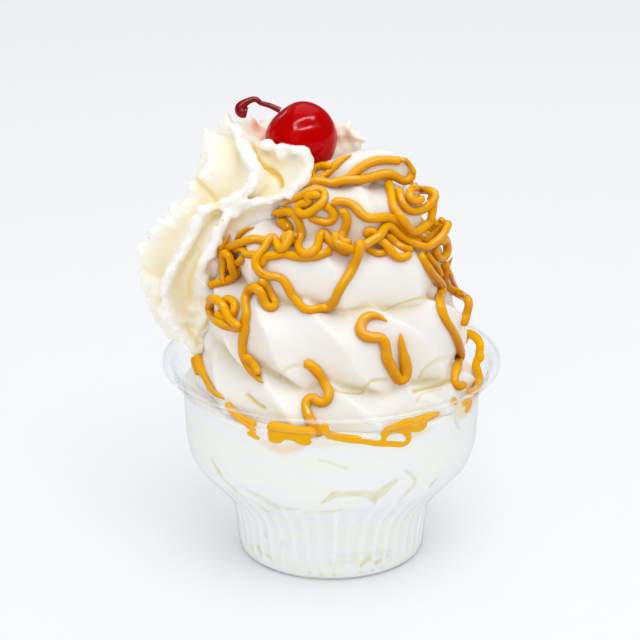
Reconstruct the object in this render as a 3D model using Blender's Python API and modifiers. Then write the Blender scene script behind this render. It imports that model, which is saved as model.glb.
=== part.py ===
"""Ice cream sundae: soft serve swirled into a clear fluted cup, whipped cream piped on its
left shoulder, and a maraschino cherry with its stem. Metres, +Z up, cup base at the origin."""

import math

import bmesh
import bpy
import numpy as np
from mathutils import Matrix, Vector

MM = 0.001
GAP = 0.3                      # clearance between touching pieces, mm

# Cup, mm: outer surface from the base to the flange, as (radius, height)
WALL = 0.5
BASE_RADIUS = 26.0
FLANGE_RADIUS = 46.7
FLANGE_HEIGHT = 57.8
FLUTES = 44
FLUTE_DEPTH = 0.5
FLUTE_FOOT = 3.0
FLUTE_HEAD = 23.3
CUP_STEPS = 2 * FLUTES
PLUG_STEPS = FLUTES
CUP_PROFILE = [
    (0.0, 0.0), (BASE_RADIUS, 0.0), (26.6, FLUTE_FOOT), (27.8, 13.0), (30.7, 19.0),
    (37.2, 26.3), (39.7, 29.8), (41.0, 35.0), (41.8, 50.6), (44.2, 52.7),
    (45.3, FLANGE_HEIGHT), (FLANGE_RADIUS, FLANGE_HEIGHT), (FLANGE_RADIUS, 56.8),
]

# Soft serve, mm
CONTACT_HEIGHT = 50.0          # top of the ice cream that touches the wall
PLUG_PROFILE_STEP = 1.6        # how far the plug's shoulder rounds off below that line
TURN_TABLE = [                 # (turn in degrees, coil radius, height, half width, half height, shift x)
    (-90, 24.5, 40.5, 14.0, 10.5, 0.5),
    (0, 26.0, 46.0, 14.0, 12.0, 0.6),
    (90, 26.0, 50.5, 14.0, 12.5, 0.8),
    (180, 25.0, 55.0, 13.5, 12.5, 1.0),
    (270, 24.0, 60.0, 13.5, 12.5, 1.2),
    (360, 23.0, 65.5, 13.2, 12.5, 1.0),
    (450, 22.6, 70.5, 13.6, 12.5, 0.8),
    (540, 22.2, 75.3, 13.6, 12.0, 0.5),
    (630, 20.6, 80.0, 12.8, 11.2, 0.5),
    (720, 18.2, 84.5, 12.0, 10.6, 0.3),
    (810, 17.2, 88.5, 12.0, 10.4, 0.2),
    (900, 17.0, 92.3, 12.2, 10.0, 0.0),
    (990, 14.8, 96.0, 11.4, 9.6, 0.3),
    (1080, 12.6, 99.6, 10.8, 9.4, 0.8),
    (1170, 10.6, 103.2, 10.2, 9.2, 1.0),
    (1260, 9.0, 107.2, 9.0, 8.0, 1.0),
    (1350, 5.6, 111.6, 6.6, 6.2, 2.5),
    (1440, 7.0, 113.9, 4.8, 4.8, 5.5),
    (1470, 5.2, 112.8, 3.9, 4.0, 11.6),
    (1500, 4.6, 110.2, 2.4, 2.6, 15.4),
]
TURN_START_AZIMUTH = 0.0       # the rope climbs clockwise, seen from above
RIDGE_COUNTS = [               # (turn in degrees, ridges passed): where the ridges cross mid coil
    (-90, -3), (0, 0), (140, 4), (401, 11), (442, 12), (477, 13), (506, 14), (758, 20), (805, 21),
    (858, 22), (1141, 28), (1190, 29), (1240, 30), (1500, 35),
]
RIDGE_WRAP = 3.0               # ridges met going once round the rope's section
RIDGE_DEPTH = 0.24             # flute depth over the section's radius
COIL_STEP = 7.5                # degrees of turn between sections
COIL_SIDES = 28
CORE_SHIFT = 1.0               # the solid core stands a little right of the cup's axis
SWIRL_VOXEL = 1.3
ROOM_VOXEL = 1.0
SWIRL_TRIANGLES = 2200

# Whipped cream, mm: the crests of its piped fins, top to foot, in order round the dollop
FIN_CRESTS = {
    "front": [
        (-19.5, -5.0, 122.0), (-13.0, -8.0, 121.6), (-6.9, -10.0, 121.4), (-5.5, -12.0, 118.6),
        (-8.0, -14.0, 112.7), (-13.7, -14.0, 109.2), (-22.1, -13.0, 107.4), (-28.2, -12.0, 103.6),
        (-32.1, -12.0, 95.0), (-35.5, -11.0, 88.3), (-34.9, -9.0, 82.6), (-33.4, -7.0, 77.0),
        (-35.0, -5.0, 69.0),
    ],
    "middle": [
        (-26.7, 0.0, 125.6), (-24.3, -6.0, 121.2), (-21.0, -10.0, 115.9), (-22.4, -12.0, 111.4),
        (-27.0, -12.0, 108.0), (-35.3, -11.0, 105.1), (-37.5, -11.0, 99.6), (-40.9, -12.0, 92.4),
        (-44.4, -11.0, 86.3), (-46.5, -9.0, 79.3), (-45.0, -7.0, 72.0), (-40.0, -5.0, 65.0),
    ],
    "left": [
        (-34.5, 4.0, 122.0), (-34.3, 1.0, 117.6), (-34.6, -2.0, 113.6), (-38.6, -3.0, 109.0),
        (-40.2, -3.0, 104.0), (-45.1, -3.0, 98.9), (-49.6, -3.0, 95.4), (-53.1, -2.0, 90.0),
        (-52.6, 0.0, 80.2), (-50.4, 1.0, 69.9), (-48.0, 1.0, 65.4),
    ],
    "back_left": [
        (-23.0, 8.0, 125.0), (-31.0, 12.0, 121.0), (-35.5, 14.0, 113.5), (-38.5, 13.0, 105.0),
        (-44.0, 11.5, 98.0), (-49.0, 10.5, 88.0), (-48.0, 10.0, 78.0), (-45.0, 8.0, 67.0),
    ],
    "back": [
        (-14.0, 12.0, 125.0), (-20.0, 19.0, 120.0), (-25.0, 21.0, 110.0), (-30.0, 20.0, 100.5),
        (-36.0, 18.5, 92.0), (-41.0, 17.0, 83.0), (-42.0, 15.0, 74.0), (-40.0, 11.0, 67.0),
    ],
    "right": [
        (-4.0, 12.0, 123.5), (3.0, 13.0, 120.0), (9.3, 12.0, 115.2), (5.0, 15.0, 108.0),
        (-10.0, 17.0, 101.0), (-22.0, 15.0, 93.0), (-31.0, 12.0, 84.0), (-35.0, 9.0, 74.0),
    ],
    "inner": [
        (-3.0, -2.0, 113.0), (-3.0, -4.0, 108.0), (-12.0, -2.0, 103.0), (-22.0, 0.0, 97.0),
        (-28.0, 1.0, 89.0), (-31.0, 1.0, 82.0), (-33.0, 1.0, 75.0), (-35.0, 0.0, 69.0),
    ],
}
CREAM_CORE = [
    (-14.0, 3.0, 116.0), (-18.0, 1.0, 111.0), (-24.0, 1.0, 105.5), (-32.0, 1.5, 99.5),
    (-39.5, 1.5, 93.0), (-43.0, 1.5, 85.0), (-42.0, 1.5, 76.0), (-41.0, 2.0, 68.0),
]
CREAM_TOP = (-12.0, 3.0, 118.0)
CREAM_FOOT = (-40.0, 1.0, 61.0)
FIN_HOLLOW = 0.30              # how far a valley sinks from its crests towards the core
FIN_SIDES = 6                  # faces between two crests
FIN_EDGE = 1.8                 # thickness of a fin at its crest
CREAM_ROWS = 30
CREAM_VOXEL = 0.8
CREAM_TRIANGLES = 1700

# Cherry and stem, mm
CHERRY_CENTRE = (-8.4, 2.5, 121.0)
CHERRY_RADIUS = 9.9
CHERRY_HEIGHT_SCALE = 1.04
CHERRY_SEGMENTS = 20
CHERRY_RINGS = 13
DIMPLE_DEPTH = 1.5
DIMPLE_WIDTH = 0.42            # radians from the stem's axis
STEM_LEAN = (-0.62, 0.0, 0.78)
STEM_POINTS = [                # (x, y, z, radius), from the dimple to the broken end
    (-14.2, 2.5, 129.0, 0.85), (-16.9, 2.5, 130.3, 0.75), (-19.4, 2.5, 131.1, 0.7),
    (-20.9, 2.3, 132.3, 0.8), (-22.9, 2.1, 131.7, 0.95), (-24.6, 2.0, 129.6, 1.2),
    (-24.2, 2.0, 127.9, 1.5),
]

COLOURS = {                    # base colour (linear), roughness, transmission
    "cup": ((0.90, 0.92, 0.94), 0.08, 0.9),
    "soft_serve": ((0.93, 0.90, 0.83), 0.45, 0.0),
    "whipped_cream": ((0.95, 0.91, 0.78), 0.55, 0.0),
    "cherry": ((0.60, 0.01, 0.01), 0.10, 0.2),
    "cherry_stem": ((0.20, 0.01, 0.02), 0.30, 0.0),
}


def clear_scene():
    for obj in list(bpy.data.objects):
        bpy.data.objects.remove(obj, do_unlink=True)


def new_collection(name):
    collection = bpy.data.collections.new(name)
    bpy.context.scene.collection.children.link(collection)
    return collection


def material(name):
    colour, roughness, transmission = COLOURS[name]
    mat = bpy.data.materials.new(name)
    mat.use_nodes = True
    shader = mat.node_tree.nodes["Principled BSDF"]
    shader.inputs["Base Color"].default_value = (*colour, 1.0)
    shader.inputs["Roughness"].default_value = roughness
    shader.inputs["Metallic"].default_value = 0.0
    shader.inputs["Transmission Weight"].default_value = transmission
    return mat


def add_object(name, mesh, collection):
    obj = bpy.data.objects.new(name, mesh)
    collection.objects.link(obj)
    return obj


def mesh_from(name, points, faces):
    """A mesh from points in mm."""
    mesh = bpy.data.meshes.new(name)
    mesh.from_pydata([(x * MM, y * MM, z * MM) for x, y, z in points], [], faces)
    mesh.validate()
    return mesh


def evaluated(obj):
    """The object's mesh with its modifiers applied."""
    depsgraph = bpy.context.evaluated_depsgraph_get()
    return bpy.data.meshes.new_from_object(obj.evaluated_get(depsgraph))


def bake(obj):
    """Replace the object's mesh by its evaluated one and drop the modifiers."""
    mesh = evaluated(obj)
    obj.modifiers.clear()
    obj.data = mesh
    return obj


def face_outward(mesh):
    bm = bmesh.new()
    bm.from_mesh(mesh)
    bmesh.ops.recalc_face_normals(bm, faces=bm.faces)
    bm.to_mesh(mesh)
    bm.free()


def keep_largest_body(mesh):
    """Drop crumbs that a cut leaves loose."""
    bm = bmesh.new()
    bm.from_mesh(mesh)
    unseen = set(bm.verts)
    bodies = []
    while unseen:
        stack = [unseen.pop()]
        body = list(stack)
        while stack:
            vert = stack.pop()
            for edge in vert.link_edges:
                other = edge.other_vert(vert)
                if other in unseen:
                    unseen.remove(other)
                    stack.append(other)
                    body.append(other)
        bodies.append(body)
    bodies.sort(key=len, reverse=True)
    spare = [vert for body in bodies[1:] for vert in body]
    bmesh.ops.delete(bm, geom=spare, context="VERTS")
    bm.to_mesh(mesh)
    bm.free()


def boolean(obj, other, operation):
    mod = obj.modifiers.new(operation.title(), "BOOLEAN")
    mod.solver = "EXACT"
    mod.operation = operation
    mod.object = other
    return bake(obj)


def join(obj, other, place):
    """Put the other object's faces, moved by a matrix, into this object's mesh."""
    bm = bmesh.new()
    bm.from_mesh(obj.data)
    moved = other.data.copy()
    moved.transform(place)
    bm.from_mesh(moved)
    bm.to_mesh(obj.data)
    bm.free()


def grown_cutter(obj, distance, cutters, voxel=0.0):
    """A copy of the object, pushed out along its normals by a distance in mm, and fused if it folds."""
    cutter = add_object(obj.name + "_clearance", obj.data.copy(), cutters)
    push = cutter.modifiers.new("Push", "DISPLACE")
    push.strength = distance * MM
    push.mid_level = 0.0
    bake(cutter)
    if voxel:
        fuse(cutter, voxel)
    cutter.hide_render = True
    cutter.display_type = "WIRE"
    return cutter


def turned(name, profile, steps, collection):
    """Turn an open profile in mm, given as (radius, height) top to bottom, round Z."""
    mesh = bpy.data.meshes.new(name)
    edges = [(i, i + 1) for i in range(len(profile) - 1)]
    mesh.from_pydata([(r * MM, 0.0, z * MM) for r, z in profile], edges, [])
    obj = add_object(name, mesh, collection)
    screw = obj.modifiers.new("Screw", "SCREW")
    screw.axis = "Z"
    screw.steps = steps
    screw.render_steps = steps
    screw.use_merge_vertices = True
    screw.merge_threshold = 0.00001
    screw.use_smooth_shade = True
    return bake(obj)


def catmull(points, count):
    """Points evenly spaced along a smooth curve through the given points."""
    pts = np.array(points, float)
    ends = np.vstack([2 * pts[0] - pts[1], pts, 2 * pts[-1] - pts[-2]])
    dense = []
    for i in range(1, len(ends) - 2):
        p0, p1, p2, p3 = ends[i - 1:i + 3]
        for t in np.linspace(0.0, 1.0, 24, endpoint=False):
            dense.append(0.5 * (2 * p1 + (p2 - p0) * t + (2 * p0 - 5 * p1 + 4 * p2 - p3) * t ** 2
                                + (3 * p1 - p0 - 3 * p2 + p3) * t ** 3))
    dense.append(pts[-1])
    dense = np.array(dense)
    steps = np.linalg.norm(np.diff(dense[:, :3], axis=0), axis=1)
    along = np.concatenate([[0.0], np.cumsum(steps)])
    wanted = np.linspace(0.0, along[-1], count)
    return np.column_stack([np.interp(wanted, along, dense[:, k]) for k in range(dense.shape[1])])


def smooth_table(table, at):
    """Read a table of rows (position, values...) at the given positions, smoothly."""
    rows = np.array(table, float)
    where = rows[:, 0]
    slopes = np.gradient(rows[:, 1:], where, axis=0)
    i = np.clip(np.searchsorted(where, at, side="right") - 1, 0, len(where) - 2)
    span = (where[i + 1] - where[i])[:, None]
    t = ((at - where[i])[:, None]) / span
    start, end = rows[i, 1:], rows[i + 1, 1:]
    return (start * (2 * t ** 3 - 3 * t ** 2 + 1) + end * (3 * t ** 2 - 2 * t ** 3)
            + span * (slopes[i] * (t ** 3 - 2 * t ** 2 + t) + slopes[i + 1] * (t ** 3 - t ** 2)))


def grid_faces(rows, sides):
    """Quads of a tube of closed rings, ring after ring."""
    faces = []
    for row in range(rows - 1):
        for k in range(sides):
            a = row * sides + k
            b = row * sides + (k + 1) % sides
            faces.append((a, b, b + sides, a + sides))
    return faces


def capped_tube(name, rings, first_tip, last_tip):
    """A closed body from rings of points, fanned to a point at each end."""
    rows, sides = rings.shape[:2]
    points = [tuple(p) for p in rings.reshape(-1, 3)] + [tuple(first_tip), tuple(last_tip)]
    faces = grid_faces(rows, sides)
    last = (rows - 1) * sides
    for k in range(sides):
        n = (k + 1) % sides
        faces.append((n, k, rows * sides))
        faces.append((last + k, last + n, rows * sides + 1))
    mesh = mesh_from(name, points, faces)
    face_outward(mesh)
    return mesh


def fuse(obj, voxel):
    """Fuse overlapping parts into one skin."""
    remesh = obj.modifiers.new("Remesh", "REMESH")
    remesh.mode = "VOXEL"
    remesh.voxel_size = voxel * MM
    bake(obj)
    soften = obj.modifiers.new("Smooth", "SMOOTH")
    soften.factor = 0.5
    soften.iterations = 1
    return bake(obj)


def thin_out(obj, triangles):
    """Bring the mesh down to about a number of triangles."""
    obj.data.calc_loop_triangles()
    decimate = obj.modifiers.new("Decimate", "DECIMATE")
    decimate.ratio = min(1.0, triangles / len(obj.data.loop_triangles))
    return bake(obj)


def make_cup(collection):
    """A thin thermoformed cup: turned, fluted below the bowl, then given its wall."""
    cup = turned("cup", CUP_PROFILE[::-1], CUP_STEPS, collection)
    for vert in cup.data.vertices:
        height = vert.co.z / MM
        radius = math.hypot(vert.co.x, vert.co.y) / MM
        if radius < 1.0 or not FLUTE_FOOT + 1 < height < FLUTE_HEAD - 1:
            continue
        azimuth = math.atan2(vert.co.y, vert.co.x)
        inward = 0.5 * FLUTE_DEPTH * (1 - math.cos(FLUTES * azimuth))
        vert.co.x *= 1 - inward / radius
        vert.co.y *= 1 - inward / radius
    face_outward(cup.data)
    wall = cup.modifiers.new("Wall", "SOLIDIFY")
    wall.thickness = WALL * MM
    wall.offset = 1.0
    wall.use_even_offset = True
    bake(cup)
    face_outward(cup.data)
    return cup


def inner_profile(distance):
    """The cup's outline moved square to itself, inwards, by a distance."""
    points = [Vector(point) for point in CUP_PROFILE[:-1]]
    moved = []
    for k, point in enumerate(points):
        before = point - points[k - 1] if k else points[1] - points[0]
        after = points[k + 1] - point if k + 1 < len(points) else before
        sides = [Vector((-run.y, run.x)).normalized() for run in (before, after)]
        middle = (sides[0] + sides[1]).normalized()
        moved.append(point + middle * distance / middle.dot(sides[0]))
    return moved


def plug_profile():
    """The filling's outline: the cup's inside, less the clearance, up to the contact line."""
    rim = CONTACT_HEIGHT
    inner = inner_profile(WALL + GAP)
    reached = sum(height < rim for _, height in CUP_PROFILE[:len(inner)])
    side = []
    for (_, height), point in zip(CUP_PROFILE[:reached], inner):
        fluted = FLUTE_FOOT + 1 < height < FLUTE_HEAD - 1
        side.append((point.x - (FLUTE_DEPTH if fluted else 0.0), point.y))
    below, above = inner[reached - 1], inner[reached]
    top_radius = below.lerp(above, (rim - PLUG_PROFILE_STEP - below.y) / (above.y - below.y)).x
    outline = [(0.0, rim + 1.0), (top_radius - 6.0, rim + 0.8), (top_radius - PLUG_PROFILE_STEP, rim),
               (top_radius, rim - PLUG_PROFILE_STEP)]
    return outline + side[::-1]


def coil_rings(step, sides):
    """Sections of the soft serve rope, wound upwards; each is a ridged oval."""
    turns = np.arange(TURN_TABLE[0][0], TURN_TABLE[-1][0] + 0.01, step)
    coil_radius, height, half_width, half_height, shift = smooth_table(TURN_TABLE, turns).T
    counts = np.array(RIDGE_COUNTS, float)
    passed = np.interp(turns, counts[:, 0], counts[:, 1])
    azimuth = np.radians(TURN_START_AZIMUTH - turns)
    radial = np.column_stack([np.cos(azimuth), np.sin(azimuth), np.zeros(len(turns))])
    centre = radial * coil_radius[:, None] + np.column_stack([shift, np.zeros(len(turns)), height])
    along = np.gradient(centre, axis=0)
    along /= np.linalg.norm(along, axis=1)[:, None]
    outward = radial - along * (radial * along).sum(axis=1)[:, None]
    outward /= np.linalg.norm(outward, axis=1)[:, None]
    upward = np.cross(outward, along)
    upward *= np.sign(upward[:, 2])[:, None]
    around = np.linspace(-math.pi, math.pi, sides, endpoint=False)
    rings = []
    for i in range(len(turns)):
        phase = passed[i] - around * RIDGE_WRAP / (2 * math.pi)
        from_crest = np.abs(phase - np.round(phase)) * 2
        outer = np.clip((2.2 - np.abs(around)) / 0.8, 0.0, 1.0)
        reach = 1 + RIDGE_DEPTH * ((1 - from_crest) ** 2 - 0.6) * outer
        out = (half_width[i] * np.cos(around) * reach)[:, None]
        up = (half_height[i] * np.sin(around) * reach)[:, None]
        rings.append(centre[i] + outward[i] * out + upward[i] * up)
    return np.array(rings)


def keep_inside_cup(obj):
    """Draw in whatever would come nearer to the wall than the clearance."""
    radii, heights = np.array(CUP_PROFILE[1:9]).T
    for vert in obj.data.vertices:
        limit = (np.interp(vert.co.z / MM, heights, radii) - WALL - GAP) * MM
        radius = math.hypot(vert.co.x, vert.co.y)
        if radius > limit:
            vert.co.x *= limit / radius
            vert.co.y *= limit / radius


def make_soft_serve(collection, cutters):
    """The filling and the swirl above it, as one body."""
    rings = coil_rings(COIL_STEP, COIL_SIDES)
    mesh = capped_tube("swirl", rings, rings[0].mean(axis=0), rings[-1].mean(axis=0))
    swirl = add_object("swirl", mesh, cutters)
    core_profile = [(0.0, 106.0), (6.0, 104.0), (12.0, 92.0), (17.0, 80.0), (22.0, 60.0), (22.0, 45.0),
                    (0.0, 45.0)]
    core = turned("swirl_core", core_profile, 32, cutters)
    join(swirl, core, Matrix.Translation((CORE_SHIFT * MM, 0.0, 0.0)))
    fuse(swirl, SWIRL_VOXEL)
    thin_out(swirl, SWIRL_TRIANGLES)
    keep_inside_cup(swirl)
    soft_serve = turned("soft_serve", plug_profile(), PLUG_STEPS, collection)
    face_outward(soft_serve.data)
    boolean(soft_serve, swirl, "UNION")
    for spare in (swirl, core):
        bpy.data.objects.remove(spare)
    return soft_serve


def cream_rings(rows, sides):
    """Rings round the dollop: sharp at each fin's crest, hollow between two crests."""
    crests = [catmull(points, rows) for points in FIN_CRESTS.values()]
    core = catmull(CREAM_CORE, rows)
    count = len(crests)
    rings = np.zeros((rows, count * sides, 3))
    for k in range(count):
        here, there = crests[k], crests[(k + 1) % count]
        across = there - here
        across = 0.5 * FIN_EDGE * across / np.linalg.norm(across, axis=1)[:, None]
        here, there = here + across, there - across
        middle = 0.5 * (here + there)
        control = middle + 2 * FIN_HOLLOW * (core - middle)
        for j in range(sides):
            t = j / (sides - 1)
            rings[:, k * sides + j] = here * (1 - t) ** 2 + 2 * control * t * (1 - t) + there * t ** 2
    return rings


def make_whipped_cream(collection, rooms):
    """The dollop, cut clear of what it leans on and of what sits in it."""
    mesh = capped_tube("whipped_cream", cream_rings(CREAM_ROWS, FIN_SIDES), CREAM_TOP, CREAM_FOOT)
    cream = add_object("whipped_cream", mesh, collection)
    fuse(cream, CREAM_VOXEL)
    for room in rooms:
        boolean(cream, room, "DIFFERENCE")
    fuse(cream, CREAM_VOXEL)
    keep_largest_body(cream.data)
    return thin_out(cream, CREAM_TRIANGLES)


def make_cherry(collection):
    """A pitted cherry: nearly a sphere, a little tall, with a dimple where the stem sits."""
    mesh = bpy.data.meshes.new("cherry")
    bm = bmesh.new()
    bmesh.ops.create_uvsphere(bm, u_segments=CHERRY_SEGMENTS, v_segments=CHERRY_RINGS,
                              radius=CHERRY_RADIUS * MM)
    lean = np.array(STEM_LEAN) / np.linalg.norm(STEM_LEAN)
    for vert in bm.verts:
        direction = np.array(vert.co) / np.linalg.norm(vert.co)
        angle = math.acos(max(-1.0, min(1.0, float(direction @ lean))))
        dimple = DIMPLE_DEPTH * math.exp(-(angle / DIMPLE_WIDTH) ** 2)
        reach = 1 - dimple / CHERRY_RADIUS
        vert.co *= reach
        vert.co.z *= CHERRY_HEIGHT_SCALE
    bm.to_mesh(mesh)
    bm.free()
    mesh.shade_smooth()
    cherry = add_object("cherry", mesh, collection)
    cherry.location = [c * MM for c in CHERRY_CENTRE]
    bpy.context.view_layer.update()
    return cherry


def make_stem(collection):
    """The stem: a tapered tube, thickest at its broken end."""
    curve = bpy.data.curves.new("cherry_stem", "CURVE")
    curve.dimensions = "3D"
    curve.bevel_depth = MM
    curve.bevel_resolution = 1
    curve.use_fill_caps = True
    points = catmull(STEM_POINTS, 12)
    spline = curve.splines.new("POLY")
    spline.points.add(len(points) - 1)
    for point, (x, y, z, radius) in zip(spline.points, points):
        point.co = (x * MM, y * MM, z * MM, 1.0)
        point.radius = radius
    tube = add_object("cherry_stem_curve", curve, collection)
    mesh = evaluated(tube)
    bpy.data.objects.remove(tube)
    bm = bmesh.new()
    bm.from_mesh(mesh)
    bmesh.ops.remove_doubles(bm, verts=bm.verts, dist=0.000001)
    bm.to_mesh(mesh)
    bm.free()
    face_outward(mesh)
    return add_object("cherry_stem", mesh, collection)


def finish(obj):
    obj.data.name = obj.name
    obj.data.materials.clear()
    obj.data.materials.append(material(obj.name))
    obj.data.shade_smooth()
    obj.data.set_sharp_from_angle(angle=math.radians(40))


def build():
    clear_scene()
    sundae = new_collection("ice_cream_sundae")
    cutters = new_collection("cutters")
    cup = make_cup(sundae)
    soft_serve = make_soft_serve(sundae, cutters)
    cherry = make_cherry(sundae)
    stem = make_stem(sundae)
    cherry_room = grown_cutter(cherry, GAP + 0.3, cutters)
    cherry_room.matrix_world = cherry.matrix_world
    stem_room = grown_cutter(stem, GAP, cutters)
    boolean(cherry, stem_room, "DIFFERENCE")
    boolean(soft_serve, cherry_room, "DIFFERENCE")
    keep_largest_body(soft_serve.data)
    serve_room = grown_cutter(soft_serve, GAP + 0.3, cutters, ROOM_VOXEL)
    cream = make_whipped_cream(sundae, [serve_room, cherry_room, stem_room])
    for piece in (cup, soft_serve, cream, cherry, stem):
        finish(piece)


build()
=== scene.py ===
"""Looks of the ice cream sundae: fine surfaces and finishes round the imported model.
Lengths are in millimetres and are turned to metres where a mesh is made."""

import math

import bmesh
import bpy
import numpy as np
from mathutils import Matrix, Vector
from mathutils.bvhtree import BVHTree
from mathutils.kdtree import KDTree


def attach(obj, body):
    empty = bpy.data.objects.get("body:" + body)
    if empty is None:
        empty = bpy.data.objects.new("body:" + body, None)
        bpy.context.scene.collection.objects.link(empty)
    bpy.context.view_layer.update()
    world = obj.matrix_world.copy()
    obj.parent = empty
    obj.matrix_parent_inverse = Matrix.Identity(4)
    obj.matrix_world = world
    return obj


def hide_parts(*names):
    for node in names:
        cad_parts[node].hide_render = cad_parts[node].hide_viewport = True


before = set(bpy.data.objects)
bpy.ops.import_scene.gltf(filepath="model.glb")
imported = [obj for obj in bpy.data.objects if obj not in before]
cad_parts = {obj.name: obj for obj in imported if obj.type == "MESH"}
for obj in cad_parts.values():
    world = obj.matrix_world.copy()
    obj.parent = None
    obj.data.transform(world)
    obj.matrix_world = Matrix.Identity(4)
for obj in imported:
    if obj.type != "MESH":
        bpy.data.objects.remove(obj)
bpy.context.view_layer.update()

MM = 0.001
BODY = "root"

# ---------------------------------------------------------------- camera
CAMERA_ELEVATION = 21.0        # degrees above the table
CAMERA_DISTANCE = 800.0
CAMERA_AIM = (-3.24, 0.0, 68.5)
CAMERA_LENS = 160.5            # on a 36 mm sensor

# ---------------------------------------------------------------- cup
WALL = 0.5
FLUTES = 44
FLUTE_DEPTH = 0.3
FLUTE_POWER = 4                # higher leaves a narrower rib between two flutes
FLUTE_PHASE = 2.1              # degrees from the front to the nearest rib
FLUTE_FOOT = 2.2               # heights between which the flutes stand, and how far they fade in
FLUTE_FOOT_FADE = 1.2
FLUTE_HEAD = 29.0
FLUTE_HEAD_FADE = 8.0
CUP_STEPS = FLUTES * 11
CUP_ROWS = 60
LIP_ROWS = 20
LIP_FOOT = (41.75, 49.5)       # where the bowl ends and the lip begins
LIP_LINES = [                  # (radius, height, half width, strength) of a painted highlight where a bend catches light
    (47.0, 57.3, 0.5, 0.4), (45.6, 57.6, 0.4, 0.25), (44.0, 52.8, 0.35, 0.25),
]
WALL_HEAD = 56.6               # where the wall proper ends under the flange
CUP_PROFILE = [                # outer surface, (radius, height), base to lip
    (0.0, 0.0), (12.0, 0.0), (24.6, 0.0), (25.6, 0.25), (26.2, 1.0), (26.6, 3.0), (27.1, 8.0), (27.8, 13.0),
    (28.8, 16.0), (30.7, 19.0), (34.0, 22.8), (37.2, 26.3), (39.0, 28.5), (40.1, 31.0), (41.0, 35.0),
    (41.5, 42.0), (41.75, 49.5), (42.3, 51.2), (43.5, 52.2), (44.4, 53.2), (45.0, 56.6), (45.5, 57.6),
    (46.2, 57.8), (46.8, 57.75), (47.05, 57.4), (47.1, 56.8),
]

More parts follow.
